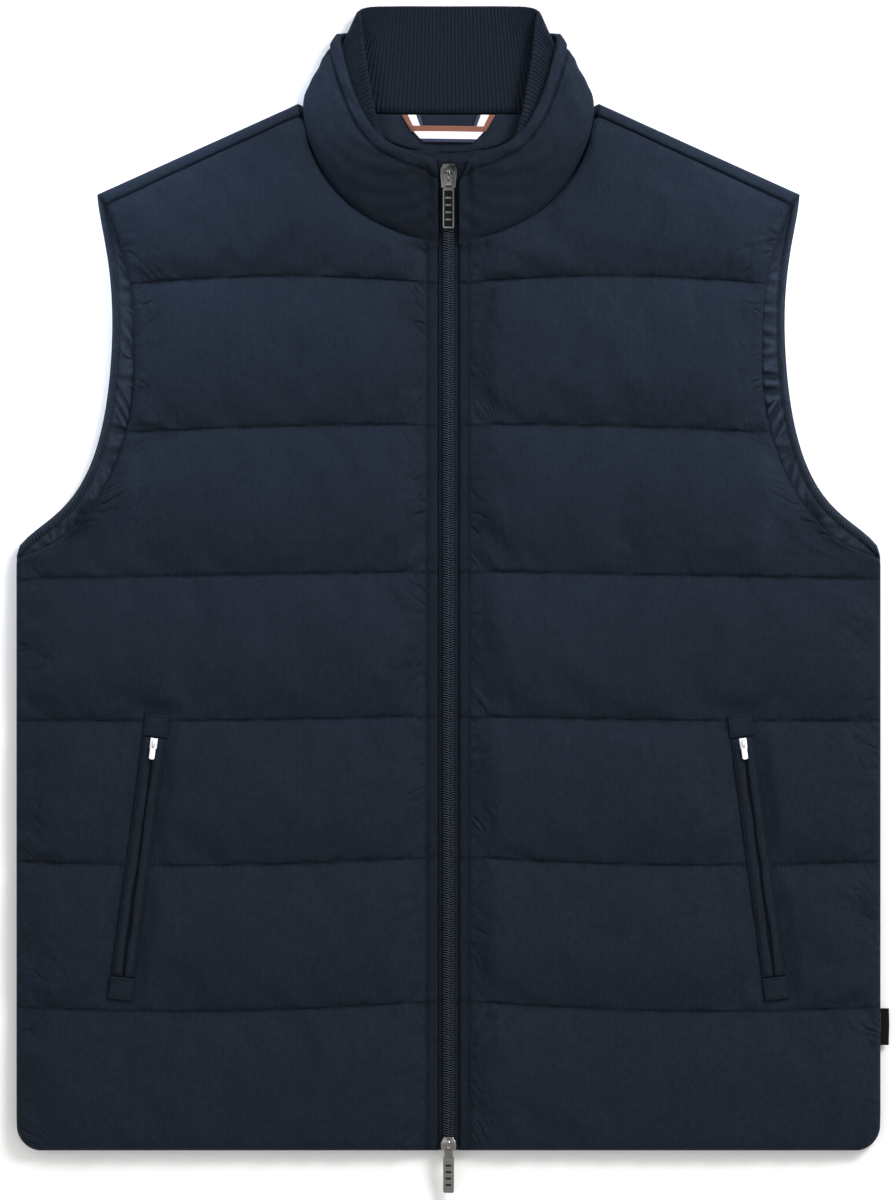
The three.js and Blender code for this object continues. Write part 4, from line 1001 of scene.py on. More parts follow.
# %% The back's plan
BACK_THICK = 7.0
BACK_RIM = (2.8, 4.9)
BACK_EDGE_RADIUS = 3.2
BACK_SEAM_DEPTH = 1.3
BACK_NECK = 670.8
SHOULDER_TIP = (227.6, 619.0)
SHOULDER_NECK = (97.4, 677.8)
BACK_ROWS = 150
BACK_COLUMNS = 46
back_armhole = make_path(
    bezier((HALF_CHEST, 388.7), (263.5, 413.9), (224.3, 407.1), (218.3, 518)),
    bezier((218.3, 518), (215.6, 572), (225.6, 594.5), SHOULDER_TIP))
back_side = make_path(hem_corner, back_armhole[0])
back_top = make_path([(0, BACK_NECK), (87.5, 672.4)], [SHOULDER_NECK], [SHOULDER_TIP])


def side_dimple(height):
    """How far the side seam is drawn in at each quilting seam, in millimetres."""
    seams = np.array([seam[2] for seam in QUILT_SEAMS[1:5]])
    return 0.9 * bell(np.asarray(height)[..., None] - seams, 5).sum(-1)


def back_plan():
    """A grid over the back's right half: the blend of its bottom, top, centre and side edges."""
    across = toward_ends(BACK_COLUMNS, 0.7)[None, :, None]
    up = toward_ends(BACK_ROWS, 0.7)[:, None, None]
    hem_end = HALF_CHEST - HEM_CORNER
    bottom = np.concatenate([across * hem_end, 0 * across], -1)
    top = along(back_top, across[..., 0])
    centre = np.concatenate([0 * up, up * BACK_NECK], -1)
    side = along(back_side, up[..., 0])
    corners = (mix(np.array([0.0, 0.0]), np.array([hem_end, 0.0]), across) * (1 - up)
               + mix(np.array([0.0, BACK_NECK]), np.array(SHOULDER_TIP), across) * up)
    return bottom * (1 - up) + top * up + centre * (1 - across) + side * across - corners


back_half = back_plan()
back_half[:, -1, 0] -= side_dimple(back_half[:, -1, 1])
back_plan_full = np.concatenate([back_half[:, :0:-1] * [-1, 1], back_half], 1)
to_side = np.linalg.norm(back_half - back_half[:, -1:], axis=-1)
to_side = np.concatenate([to_side[:, :0:-1], to_side], 1)
to_top = np.linalg.norm(back_plan_full - back_plan_full[-1:], axis=-1)
back_x, back_y = back_plan_full[..., 0], back_plan_full[..., 1]
edge_round = rounded(np.minimum(np.minimum(to_side, back_y), to_top), BACK_EDGE_RADIUS)
seam_heights = np.array([seam[1] for seam in QUILT_SEAMS[1:]])
from_back_seam = np.abs(back_y[..., None] - seam_heights).min(-1)
back_groove = BACK_SEAM_DEPTH * bell(from_back_seam, 3.5)
back_low = BACK_RIM[0] * (1 - edge_round) + back_groove * edge_round
back_high = BACK_RIM[1] + (BACK_THICK - BACK_RIM[1]) * edge_round
back = add_wall("back_shell", join(back_x, back_y, back_low), join(back_x, back_y, back_high),
                shell_cloth, ["back"])
print(back.name, len(back.data.vertices), "points")


# %% The shoulder rolls
SHOULDER_LONG = 143
FORWARD_NECK = (95.4, 670.7)
FORWARD_TIP = (221.9, 612.2)


def shoulder_roll(seed):
    """A strip from the fold to the forward seam: a quarter round with the seam pulling it down."""
    lengthwise = np.linspace(-0.002, 1.0, 90)[:, None]
    across = np.append(np.linspace(0, 1, 14), (1.07, 1.16))[None, :]
    fold = mix(np.array(SHOULDER_NECK), np.array(SHOULDER_TIP), lengthwise[..., None])
    seam = mix(np.array(FORWARD_NECK), np.array(FORWARD_TIP), lengthwise[..., None])
    place = fold + (seam - fold) * across[..., None]
    lengths = lengthwise * SHOULDER_LONG
    top = 4.6 + 7.1 * rounded(across, 0.85) + 0.22 * ripples(lengths, across * 3, 11, seed) * across
    top = top - 0.6 * smooth(0.86, 1.0, across) - 1.6 * smooth(1.0, 1.12, across)
    low = 4.4 + 3.0 * across + 0 * lengths
    ends = np.minimum(lengths + 0.3, SHOULDER_LONG - lengths)
    top = low + (top - low) * np.sqrt(1 - (1 - np.clip(ends / 2.5, 0, 1)) ** 2 + 1e-4)
    return join(place[..., 0], place[..., 1], top), join(place[..., 0], place[..., 1], low)


for side, label in SIDES:
    outer, inner = shoulder_roll(60 + side)
    roll = add_wall(f"shoulder_roll_{label}", mirror(outer, side), mirror(inner, side), shell_cloth,
                    ["back"])
    sew(mirror(outer, side)[2:-2, -5], lift=0.2)

# %% [markdown]
# ## The two collars
#
# The outer collar is a padded band with a topstitched roll along its top. It stands up from the
# neck seam and lies forward at the throat. Inside it stands a second collar in a ribbed knit. Both
# are bands between a curve at the seam and a curve at the top, so one function makes the surface
# and each collar then pushes its faces off it by its own thickness.

# %% Collar surfaces
COLLAR_SEAM = ((0, 671.2, 2), (45, 671.8, 2), (80, 672.9, 2.1), (89.2, 674.3, 3.9), (93, 675.5, 8),
               (92.8, 671.6, 12.2), (91.6, 662, 13.5), (87.8, 650.5, 13.5), (80.2, 635.8, 13.3),
               (69, 619.9, 13), (54.4, 606.4, 12.7), (37.7, 597.9, 12.4), (22.9, 592.4, 12.2),
               (13.5, 589.6, 12), (6.6, 587.8, 12))
COLLAR_TOP = ((0, 724, 2), (36, 723.5, 2), (58, 723.6, 2.1), (65.6, 723.5, 3.9), (70.4, 721.6, 8.4),
              (69.4, 715.6, 13.6), (65.8, 700, 16.6), (61.8, 687, 18.3), (55.8, 673, 19.8),
              (48.8, 661.3, 21.2), (39.8, 652.8, 22.4), (28.5, 646.8, 23.4), (17.9, 643.2, 24),
              (12.4, 641.8, 24.3), (6.6, 640.4, 24.4))
RIB_SEAM = ((0, 671.4, 5.6), (45, 672, 5.6), (74, 673.2, 5.6), (83, 673.9, 6.1), (86.4, 674.3, 7.6),
            (86.6, 672, 9.3), (87, 661.5, 9.5), (84.4, 651, 9.6), (77.2, 637.4, 9.5),
            (66.6, 622.4, 9.3), (53, 609.3, 9), (36.9, 600.8, 8.9), (22.4, 595.3, 8.8),
            (7.6, 591, 8.8))
RIB_TOP = ((0, 740.9, 5.6), (38, 740.9, 5.6), (51, 740.4, 5.9), (55.9, 739.0, 7.4),
           (57.6, 736.6, 9.8), (56.2, 731.5, 12.2), (54.9, 720, 13.6), (53, 705, 14.8),
           (50.6, 690, 15.8), (46.4, 668, 17.2), (40, 651.2, 18.4), (28.4, 643.6, 19.2),
           (18, 640, 19.8), (7.6, 637, 20.2))


def through(stations, share):
    """A smooth curve through stations: cubic spans whose slopes weigh each step by its root."""
    points = np.array(stations, dtype=float)
    points = np.concatenate([[2 * points[0] - points[1]], points, [2 * points[-1] - points[-2]]])
    steps = np.sqrt(np.linalg.norm(np.diff(points, axis=0), axis=1))[:, None]
    position = np.clip(share, 0, 1) * (len(stations) - 1)
    span = np.minimum(position.astype(int), len(stations) - 2)
    t = (position - span)[:, None]
    p0, p1, p2, p3 = (points[span + i] for i in range(4))
    d0, d1, d2 = (steps[span + i] for i in range(3))
    slope1 = ((p1 - p0) / d0 - (p2 - p0) / (d0 + d1) + (p2 - p1) / d1) * d1
    slope2 = ((p2 - p1) / d1 - (p3 - p1) / (d1 + d2) + (p3 - p2) / d2) * d1
    a = 2 * t ** 3 - 3 * t ** 2 + 1
    b = t ** 3 - 2 * t ** 2 + t
    return a * p1 + b * slope1 + (1 - a) * p2 + (t ** 3 - t ** 2) * slope2


def even_shares(seam, top, count):
    """Shares round a collar that are evenly spaced at half its height."""
    fine = np.linspace(0, 1, 1200)
    lengths = run_lengths((through(seam, fine) + through(top, fine)) / 2)
    return np.interp(np.linspace(0, lengths[-1], count), lengths, fine), float(lengths[-1])


def band_surface(seam, top, around, up):
    """Points between a collar's two curves, and the direction outwards at each."""
    low = through(seam, around)[:, None]
    high = through(top, around)[:, None]
    points = low + (high - low) * up[..., None]
    run = np.gradient(points, axis=0)
    run[0] = (1, 0, 0)
    outwards = np.cross(high - low, run)
    outwards /= np.linalg.norm(outwards, axis=-1, keepdims=True)
    return points, outwards


def both_halves(right, left=None):
    """A right half's grid after the mirror image of the left half, or else of its own."""
    left = right if left is None else left
    return np.concatenate([left[:0:-1] * [-1, 1, 1], right])


# %% The outer collar
COLLAR_STEPS = 94
COLLAR_CORNER = 4.5
LINE_FROM_TOP = 7.6
THROAT_HEIGHT = 52
THROAT_REACH = 18
RIGHT_OPENING = (6.4, -0.8, 0)
LEFT_OPENING = (1.0, -0.3, 0)
collar_up = np.concatenate([[-0.035, -0.015], np.linspace(0, 0.62, 12), np.linspace(0.65, 0.98, 18),
                            [0.992, 1.0]])
collar_shares, collar_half = even_shares(COLLAR_SEAM, COLLAR_TOP, COLLAR_STEPS)
collar_shares = np.concatenate([collar_shares[:-1], 1 - np.array([0.012, 0.0075, 0.004, 0.0015, 0])])
collar_shares = np.unique(np.round(collar_shares, 6))
to_end = (1 - collar_shares) * collar_half * 1.05
corner_drop = COLLAR_CORNER - np.sqrt(COLLAR_CORNER ** 2 - np.clip(COLLAR_CORNER - to_end, 0, 4.4) ** 2)
rounded_up = collar_up[None, :] * (1 - corner_drop[:, None] / THROAT_HEIGHT)
surface, outwards = band_surface(COLLAR_SEAM, COLLAR_TOP, collar_shares, rounded_up)
top_edge_line = surface[:, -1]
from_top = np.linalg.norm(surface[:, :, None] - top_edge_line[None, None, ::2], axis=-1).min(-1)
from_end = np.linalg.norm(surface - surface[-1:], axis=-1)
full_by_top = np.interp(from_top, (0, 0.7, 2, 4, 6.2, 7.1, LINE_FROM_TOP, 8.1, 9.2, 13, 24, 60),
                        (0.7, 2.1, 3.1, 3.5, 3.2, 2.2, 0.6, 2.1, 3.1, 3.9, 4.3, 4.3))
full_by_seam = np.interp(rounded_up, (-0.04, -0.01, 0.0, 0.03, 0.08, 0.2, 0.4),
                         (0.2, 0.5, 1.2, 2.2, 3.0, 3.9, 4.4))
fullness = np.minimum(full_by_top, full_by_seam)
below_line = smooth(LINE_FROM_TOP - 0.6, LINE_FROM_TOP + 0.4, from_top)
end_groove = 1.5 * bell(from_end - TOPSTITCH, 1.4) * below_line
flat_strip = 1.3 * (1 - smooth(TOPSTITCH, TOPSTITCH + 12, from_end)) * below_line
fullness = fullness - end_groove - flat_strip
around_mm = collar_shares[:, None] * collar_half
up_mm = collar_up[None, :] * THROAT_HEIGHT
soft = 0.65 * ripples(around_mm * 0.5 + up_mm * 0.4, up_mm - around_mm * 0.5, 17, 70)
soft = soft + 0.2 * ripples(around_mm, up_mm, 11, 71)
by_line = np.exp(-np.abs(from_top - LINE_FROM_TOP) / 4)
by_end = np.exp(-np.abs(from_end - TOPSTITCH) / 9)
tight = 0.3 * ripples(around_mm, up_mm * 0.3, 7, 72) * by_line
tight = tight + 0.7 * ripples(around_mm * 0.5, up_mm + 0.6 * around_mm, 9, 73) * by_end
body_share = smooth(0, 0.12, collar_up)[None, :] * smooth(0.3, 2, from_top)
fullness = np.maximum(fullness + (soft + tight) * body_share, 0.2)
thin_end = 0.15 + 0.85 * rounded(from_end, 2.2)
fullness = fullness * thin_end
inner_full = 1.4 * thin_end * (0.5 + 0.5 * smooth(0, 2, from_top))


def collar_face(direction, amount):
    """The collar's surface pushed out or in, above the table, its throat a little open at the top."""
    face = surface + outwards * (direction * amount)[..., None]
    face[..., 2] = np.maximum(face[..., 2], 0)
    opening = smooth(0.72, 1.0, collar_up)[None, :] * np.clip(1 - from_end / THROAT_REACH, 0, 1) ** 1.5
    right = face + opening[..., None] * np.array(RIGHT_OPENING)
    left = face + opening[..., None] * np.array(LEFT_OPENING)
    return both_halves(right, left)


collar_outside = collar_face(1, fullness)
collar = add_wall("collar_outer_band", collar_outside, collar_face(-1, inner_full), collar_cloth,
                  ["collar_outer"])
# Painted light and shade on the collar, by height in mm: darker low at its front, lighter towards its top,
# more so on the left, and painted shade along the topstitched groove.
PAINTED_LIGHT_HEIGHTS = (615, 632, 661, 687)
left_painted_light = np.interp(surface[..., 1], PAINTED_LIGHT_HEIGHTS, (0.64, 0.6, 1.1, 1.4))
right_painted_light = np.interp(surface[..., 1], PAINTED_LIGHT_HEIGHTS, (0.8, 0.64, 0.98, 1.2))
groove_shade = 1 - 0.5 * bell(from_top - LINE_FROM_TOP, 0.9)
set_attribute(collar, "shade", np.concatenate([(left_painted_light * groove_shade)[:0:-1], right_painted_light * groove_shade]))
subdivide(collar)


def across_level(grid, values, level):
    """The points of a grid where a value that falls along each row first passes a level."""
    after = np.argmax(values < level, axis=1)
    rows = np.arange(len(values))
    high, low = values[rows, after - 1], values[rows, after]
    t = ((high - level) / (high - low))[:, None]
    return grid[rows, after - 1] * (1 - t) + grid[rows, after] * t


half_way = len(collar_shares) - 1
stitch_end = int(np.argmin(np.abs(from_end[:, 10] - TOPSTITCH)))
for edge in (collar_outside[half_way:], collar_outside[half_way::-1]):
    sew(across_level(edge, from_top, LINE_FROM_TOP)[44:stitch_end + 1], lift=0.3)
    corner_row = int(np.argmax(from_top[stitch_end] < LINE_FROM_TOP))
    sew(edge[stitch_end, 3:corner_row], lift=0.3)
print(collar.name, round(2 * collar_half), "mm round,", len(collar.data.vertices), "points")

# %% The ribbed collar
# Ribs stand about as wide as the gaps between them. A rounded wave does both.
RIB_PITCH = 2.5
RIB_WALL = 1.1
RIB_RISE = 0.42
RIB_HIGH = 66
STEPS_PER_RIB = 7
rib_half = even_shares(RIB_SEAM, RIB_TOP, 10)[1]
rib_count = round(rib_half / RIB_PITCH)
rib_shares = even_shares(RIB_SEAM, RIB_TOP, rib_count * STEPS_PER_RIB + 1)[0]
rib_up = np.concatenate([np.linspace(0, 0.86, 13), [0.9, 0.93, 0.955, 0.975, 0.988, 0.996, 1.0]])


def rib_surface():
    """The knit's middle: each rib leaves the top edge square to it, then bends down to the seam."""
    seam = through(RIB_SEAM, rib_shares)
    top = through(RIB_TOP, rib_shares)
    run = np.gradient(top, axis=0)
    square = join(run[:, 1], -run[:, 0], 0)
    square /= np.linalg.norm(square, axis=1, keepdims=True)
    drop = seam - top
    square *= np.sign((square * drop).sum(1, keepdims=True))
    reach = np.interp(rib_shares, (0, 0.34, 0.4, 0.46, 0.54, 0.62, 0.7, 1), (4, 4, 8, 12, 15, 18, 21, 21))
    bend = top + square * reach[:, None] + np.array([0, 0, 0.2]) * drop
    weight = (smooth(0.3, 0.4, rib_shares) * (1 - smooth(0.86, 0.97, rib_shares)))[:, None]
    bend = mix((seam + top) / 2, bend, weight)
    u = rib_up[None, :, None]
    points = (1 - u) ** 2 * seam[:, None] + 2 * u * (1 - u) * bend[:, None] + u ** 2 * top[:, None]
    around = np.gradient(points, axis=0)
    around[0] = (1, 0, 0)
    outwards = np.cross(np.gradient(points, axis=1), around)
    return points, outwards / np.linalg.norm(outwards, axis=-1, keepdims=True)


surface_rib, outwards_rib = rib_surface()
rib_phase = np.arange(len(rib_shares))[:, None] / STEPS_PER_RIB * 2 * math.pi
rib_up_mm = rib_up[None, :] * RIB_HIGH
rib_wave = np.cos(rib_phase + 0.35 * ripples(rib_up_mm, rib_phase * 0.4, 40, 80))
rib_edge = rounded((1 - rib_up) * RIB_HIGH, 2.4)[None, :]
rib_rise = RIB_RISE * np.sign(rib_wave) * np.abs(rib_wave) ** 0.8
rib_roll = smooth(0.84, 0.94, rib_up)[None, :] * smooth(0.28, 0.36, rib_shares)[:, None]
rib_thick = (RIB_WALL + rib_rise + rib_roll) * (0.25 + 0.75 * rib_edge)
rib_soft = 0.35 * ripples(rib_shares[:, None] * rib_half, rib_up_mm, 45, 81)
rib_soft = rib_soft * smooth(0, 0.2, rib_up)[None, :] * (rib_shares > 0.55)[:, None]
ribs_outside = both_halves(surface_rib + outwards_rib * (rib_thick + rib_soft)[..., None])
ribs_inside = both_halves(surface_rib - outwards_rib * (rib_thick - rib_soft)[..., None])
rib_collar = add_wall("collar_rib_knit", ribs_outside, ribs_inside, rib_cloth, ["collar_rib"])
rib_area = cloth_area(rib_collar)
print("rib collar:", rib_count * 2, "ribs,", round(rib_area, 4), "m2")

# %% [markdown]
# ## Inside the neck
#
# Looking into the collar, the camera sees a plain facing sewn below the knit, the start of the
# lining and a hanger loop. The loop is a striped ribbon whose two ends are folded back at an angle,
# so the stripes turn the corner.


# %% Thin cloth over an outline
def thin_sheet(name, top, thickness, look, replaces):
    """A sheet of cloth from a grid of points on its upper side and its thickness."""
    return add_wall(name, top, top - np.array([0, 0, thickness]), look, replaces)


def lattice(first, second):
    """Every pair of the values in two lists, as two grids."""
    return np.meshgrid(first, second, indexing="ij")


FACING_HALF = 58
facing_x, facing_up = lattice(np.linspace(-1, 1, 70) * FACING_HALF, np.linspace(0, 1, 22))
crescent = np.concatenate([bezier((-FACING_HALF, 670.3), (-48, 652), (-22, 646), (0, 646)),
                           bezier((0, 646), (22, 646), (48, 652), (FACING_HALF, 670.3))[1:]])
facing_y = mix(np.interp(facing_x, crescent[:, 0], crescent[:, 1]), 670.35, facing_up)
facing_z = 8.3 + 0.16 * ripples(facing_x, facing_y, 26, 90) - 0.5 * (1 - smooth(0, 0.12, facing_up))
neck_facing = thin_sheet("neck_facing_cloth", join(facing_x, facing_y, facing_z), 0.8, facing_cloth,
                         ["neck_facing"])
cloth_area(neck_facing)

lining_x, lining_y = lattice(np.linspace(-30, 30, 50), np.linspace(620, 647.5, 26))
lining_fold = 0.5 * bell(lining_y - 641, 2.0) - 0.35 * bell(lining_y - 637, 2.0)
lining_z = 7.75 + lining_fold + 0.15 * ripples(lining_x, lining_y, 18, 91)
lining = thin_sheet("back_lining_cloth", join(lining_x, lining_y, lining_z), 0.4, lining_cloth,
                    ["back_lining"])
cloth_area(lining)


# %% The striped ribbon's material
def set_uv(mesh, values):
    """One UV pair for each point, copied to the corners of its faces."""
    layer = mesh.uv_layers.new(name="ribbon")
    corner = np.zeros(len(mesh.loops), dtype=np.int32)
    mesh.loops.foreach_get("vertex_index", corner)
    layer.data.foreach_set("uv", np.asarray(values, dtype=np.float32)[corner].ravel())


RIBBON_STRIPES = ((0.0, srgb(118, 70, 52)), (0.34, srgb(236, 236, 238)), (0.78, srgb(34, 42, 70)))


def make_ribbon_look():
    """Woven stripes: a stepped ramp across the ribbon, and fine ribs from the place along it."""
    look, tree, shader = new_look("striped_ribbon")
    parts = split_vector(tree, add_node(tree, "ShaderNodeUVMap", {}, uv_map="ribbon"))
    ramp = tree.nodes.new("ShaderNodeValToRGB")
    ramp.color_ramp.interpolation = "CONSTANT"
    ramp.color_ramp.elements[1].position = RIBBON_STRIPES[1][0]
    ramp.color_ramp.elements.new(RIBBON_STRIPES[2][0])
    for element, (_, color) in zip(ramp.color_ramp.elements, RIBBON_STRIPES):
        element.color = color
    tree.links.new(parts[0], ramp.inputs[0])
    wave = add_math(tree, "SINE", times(tree, parts[1], 2 * math.pi / 0.7))
    cross = add_math(tree, "SINE", times(tree, parts[0], 2 * math.pi * 14))
    set_inputs(tree, shader, {"Base Color": ramp.outputs[0], "Roughness": 0.75,
                              "Normal": add_bump(tree, times(tree, wave, cross), 0.06)})
    return look


ribbon_look = make_ribbon_look()


# %% The hanger loop
def ribbon(name, first, second, lift):
    """A ribbon between its two long edges, with UV across by stripe and along by millimetre."""
    first, second = (np.array(edge, dtype=float) for edge in (first, second))
    lengthwise, across = lattice(np.linspace(0, 1, 60), np.linspace(0, 1, 13))
    edge_a = mix(first[0], first[1], lengthwise[..., None])
    edge_b = mix(second[0], second[1], lengthwise[..., None])
    place = edge_a + (edge_b - edge_a) * across[..., None]
    top = join(place[..., 0], place[..., 1], lift(lengthwise, across))
    obj = thin_sheet(name, top, 0.45, ribbon_look, ["hanger_loop"])
    run = np.linalg.norm(first[1] - first[0])
    uv = join(across, lengthwise * run).reshape(-1, 2)
    set_uv(obj.data, np.concatenate([uv, uv]))
    cloth_area(obj)
    return obj


def arched(t, u):
    """The cross piece stands a little off the cloth in its middle."""
    return 9.5 + 1.1 * np.sin(math.pi * t) ** 0.8 + 0.3 * u


ribbon("hanger_ribbon_cross", ((-26.2, 663.4), (26.0, 662.8)), ((-16.4, 652.6), (16.2, 652.2)), arched)
for side, label in SIDES:
    ribbon(f"hanger_ribbon_leg_{label}", ((side * 30.4, 670.3), (side * 24.2, 659.6)),
           ((side * 18.4, 670.3), (side * 15.2, 659.6)), lambda t, u: 8.95 + 0.45 * t)

# %% [markdown]
# ## The armholes' facings
#
# Each armhole is faced with a strip that is gathered on elastic. A band some 5 mm wide along the
# outer edge has fine even gathers. Inside its stitched line, the spare cloth stands in larger,
# uneven folds that lean this way and that, deepest where the armhole curves most.

# %% The gathered strip
FACING_STATIONS = 1000
FACING_COLUMNS = 16
GATHER_PITCH = 2.1
FACING_LINE = 5.1
# Painted shade in the hollows where the strip dips away behind the front's edge, given as the front's
# creases are.
ARMHOLE_HOLLOWS = (
    (803, 500, 828, 525, 0.7, 3.2), (831, 524, 842, 531, 0.5, 2.2), (777, 446, 793, 460, 0.4, 4.0),
)


def edge_offset(path, share, offset):
    """Points beside a path: moved square to it, outwards for a positive offset."""
    run = along(path, np.minimum(share + 1e-3, 1)) - along(path, np.maximum(share - 1e-3, 0))
    run /= np.linalg.norm(run, axis=-1, keepdims=True)
    return along(path, share) + join(run[..., 1], -run[..., 0]) * offset


def facing_points(seed):
    """The strip's upper face: fine waves on the outer band, leaning folds inside it."""
    share = np.linspace(0.004, 0.985, FACING_STATIONS)
    outer = edge_offset(back_armhole, share, -0.9)[:, None]
    inner = edge_offset(front_armhole, share, -1.6)[:, None]
    across = np.linspace(0, 1, FACING_COLUMNS)[None, :]
    place = outer + (inner - outer) * across[..., None]
    width = np.linalg.norm(inner - outer, axis=-1)
    in_mm = across * width
    along_mm = share[:, None] * path_length(back_armhole)
    band = 1 - smooth(4.4, 5.6, in_mm)
    wander = 0.5 * ripples(along_mm, in_mm * 0.3, 24, seed)
    fine = np.sin(2 * math.pi * (along_mm + wander + 0.25 * in_mm) / GATHER_PITCH)
    fine_size = 0.42 + 0.15 * ripples(along_mm, 0 * in_mm, 15, seed + 1)
    lean = along_mm + 0.55 * in_mm * np.sign(ripples(along_mm, 0 * in_mm, 45, seed + 2))
    folds = ripples(lean, 0.25 * in_mm, 8.5, seed + 3, waves=7)
    fold_size = smooth(5.0, 11.0, in_mm) * (0.75 + 0.45 * ripples(along_mm, 0 * in_mm, 60, seed + 4))
    hollow = smooth(0.25, 0.45, share)[:, None] * (1 - smooth(0.62, 0.8, share))[:, None]
    base = 8.0 + 0.35 * band + 0.9 * np.sin(np.clip(in_mm / 5.0, 0, 1) * math.pi) ** 0.7 * band
    base = base - 0.6 * bell(in_mm - FACING_LINE, 0.7)
    height = base + fine * fine_size * band * smooth(0, 1.0, in_mm)
    height = height + 1.15 * folds * np.clip(fold_size, 0.25, 1.4) * (1 - band) * (0.6 + 0.8 * hollow)
    tuck = smooth(width - 2.6, width - 0.6, in_mm)
    height = np.clip(height, 6.7, 10.4) * (1 - tuck) + (7.45 - 0.7 * hollow) * tuck
    height = 6.1 + (height - 6.1) * (0.35 + 0.65 * rounded(in_mm, 1.3))
    return join(place[..., 0], place[..., 1], height), in_mm


for side, label in SIDES:
    strip, in_mm = facing_points(100 + 7 * side)
    # Painted shade beside the front's edge, towards the tip, in the gathers' low parts, in the hollows and
    # along the stitched line; painted light on the gathers' high parts.
    to_front = in_mm.max(1, keepdims=True) - in_mm
    near_tip = smooth(0.8, 0.95, np.linspace(0, 1, FACING_STATIONS))[:, None] * smooth(2, 5, in_mm)
    level = np.stack([np.roll(strip[..., 2], turn, 0) for turn in range(-24, 25, 4)]).mean(0)
    facing_shade = (1 - 0.6 * bell(to_front, 2.8)) * (1 - 0.5 * near_tip)
    facing_shade = facing_shade * (1 + 0.25 * np.clip((strip[..., 2] - level) / 0.5, -1, 1))
    facing_shade = facing_shade * (1 - crease_depth(strip[..., 0], strip[..., 1], ARMHOLE_HOLLOWS, 1))
    facing_shade = facing_shade * (1 - 0.35 * bell(in_mm - FACING_LINE, 0.6))
    strip = mirror(strip, side)
    low = strip.copy()
    low[..., 2] = np.minimum(strip[..., 2] - 0.5, 6.9)
    facing = add_wall(f"armhole_facing_cloth_{label}", strip, low, armhole_cloth,
                      [f"armhole_facing_{label}"])
    set_attribute(facing, "shade", facing_shade)
print("armhole strip", round(path_length(back_armhole)), "mm long")

# %% [markdown]
# ## The main zip
#
# Two woven tapes carry moulded teeth, 1.6 mm apart on each side, that pass between each other on the
# centre line. One tooth is modelled: a bar clamped on the tape, a narrow neck and a rounded head
# that crosses the centre. The others are copies, set along the zip's line as it bends up onto the
# collar.

# %% Tapes
ZIP_PATH = np.array([(0.8, 7.6), (575, 7.6), (592, 9.4), (641, 21.5)])


def zip_height(y):
    """The height of the zip's tape over the table."""
    return np.interp(y, ZIP_PATH[:, 0], ZIP_PATH[:, 1])


for side, label in SIDES:
    tape_y, tape_x = lattice(np.linspace(ZIP_PATH[0, 0], ZIP_PATH[-1, 0], 300),
                             side * np.linspace(0.15, 6.3, 7))
    tape_x = tape_x * (1 + (1.0 if side > 0 else 0.1) * smooth(612, 638, tape_y))
    tape_z = zip_height(tape_y) + 0.95 + 0.05 * ripples(tape_x, tape_y, 9, 120 + side)
    tape = thin_sheet(f"zip_tape_cloth_{label}", join(tape_x, tape_y, tape_z), 0.5, tape_cloth,
                      [f"zip_tape_{label}"])
    cloth_area(tape)

# %% Teeth
TOOTH_PITCH = 1.6
TOOTH_SLANT = 0.3
TOOTH_LIFT = 2.45
CHAIN_START = 1.2
CHAIN_END = 633.4
tooth_shape = tube(ring_of([0.2, 0.29, 0.3, 0.2, 0.28, 0.18], [0.75, 1.1, 1.12, 0.95, 1.05, 0.6],
                           [3.75, 3.5, 1.0, 0.45, -0.55, -0.95], sides=8, power=0.75))


def chain_side(side, start):
    """One side's teeth, each turned with the slope of the zip's line."""
    y = np.arange(start, CHAIN_END, TOOTH_PITCH)
    forward = join(0, 1, (zip_height(y + 1) - zip_height(y - 1)) / 2)
    forward /= np.linalg.norm(forward, axis=1, keepdims=True)
    above = np.cross([1.0, 0, 0], forward)
    across = np.array([side, 0.0, 0.0]) + TOOTH_SLANT * forward
    across /= np.linalg.norm(across, axis=1, keepdims=True)
    origins = join(0, y, zip_height(y)) + above * TOOTH_LIFT
    return repeat(tooth_shape, origins, np.stack([across, forward, above], 1))


right_points, right_quads = chain_side(1, CHAIN_START)
left_points, left_quads = chain_side(-1, CHAIN_START + TOOTH_PITCH / 2)
chain = add_solid("zip_teeth", np.concatenate([right_points, left_points]),
                  np.concatenate([right_quads, left_quads + len(right_points)]), teeth_look, "vest",
                  ["zip_chain"])
print("teeth:", len(chain.data.vertices) // len(tooth_shape[0]))

# %% [markdown]
# ## Sliders and pulls
#
# The sliders and pulls are cast metal, so their form is the solid model's own. A merged copy of each
# gets its edges rounded, as tumbling does after casting, and its finish: bright nickel at the top,
# darker metal at the hem and white enamel on the pockets. The metals' faces that turn up to the
# camera take a painted dark reflection, and black plates paint the shadow in the top pull's hole and slot.


# %% Rounded copies of the hard pieces
RECESS_TOLERANCE = 0.11


def cast_copy(node, look, body, width_mm):
    """A merged copy of a solid piece with its edges rounded by a live bevel."""
    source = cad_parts[node]
    mesh = source.data.copy()
    mesh.transform(source.matrix_world)
    work = bmesh.new()
    work.from_mesh(mesh)
    bmesh.ops.remove_doubles(work, verts=work.verts, dist=1e-6)
    bmesh.ops.dissolve_limit(work, angle_limit=math.radians(1), verts=work.verts, edges=work.edges)
    bmesh.ops.recalc_face_normals(work, faces=work.faces)
    work.to_mesh(mesh)
    work.free()
    obj = add_piece(f"{node}_metal", mesh, look, body, [node])
    bevel = obj.modifiers.new("Bevel", "BEVEL")
    bevel.width = width_mm * MM
    bevel.segments = 2
    bevel.limit_method = "ANGLE"
    bevel.harden_normals = True
    return obj


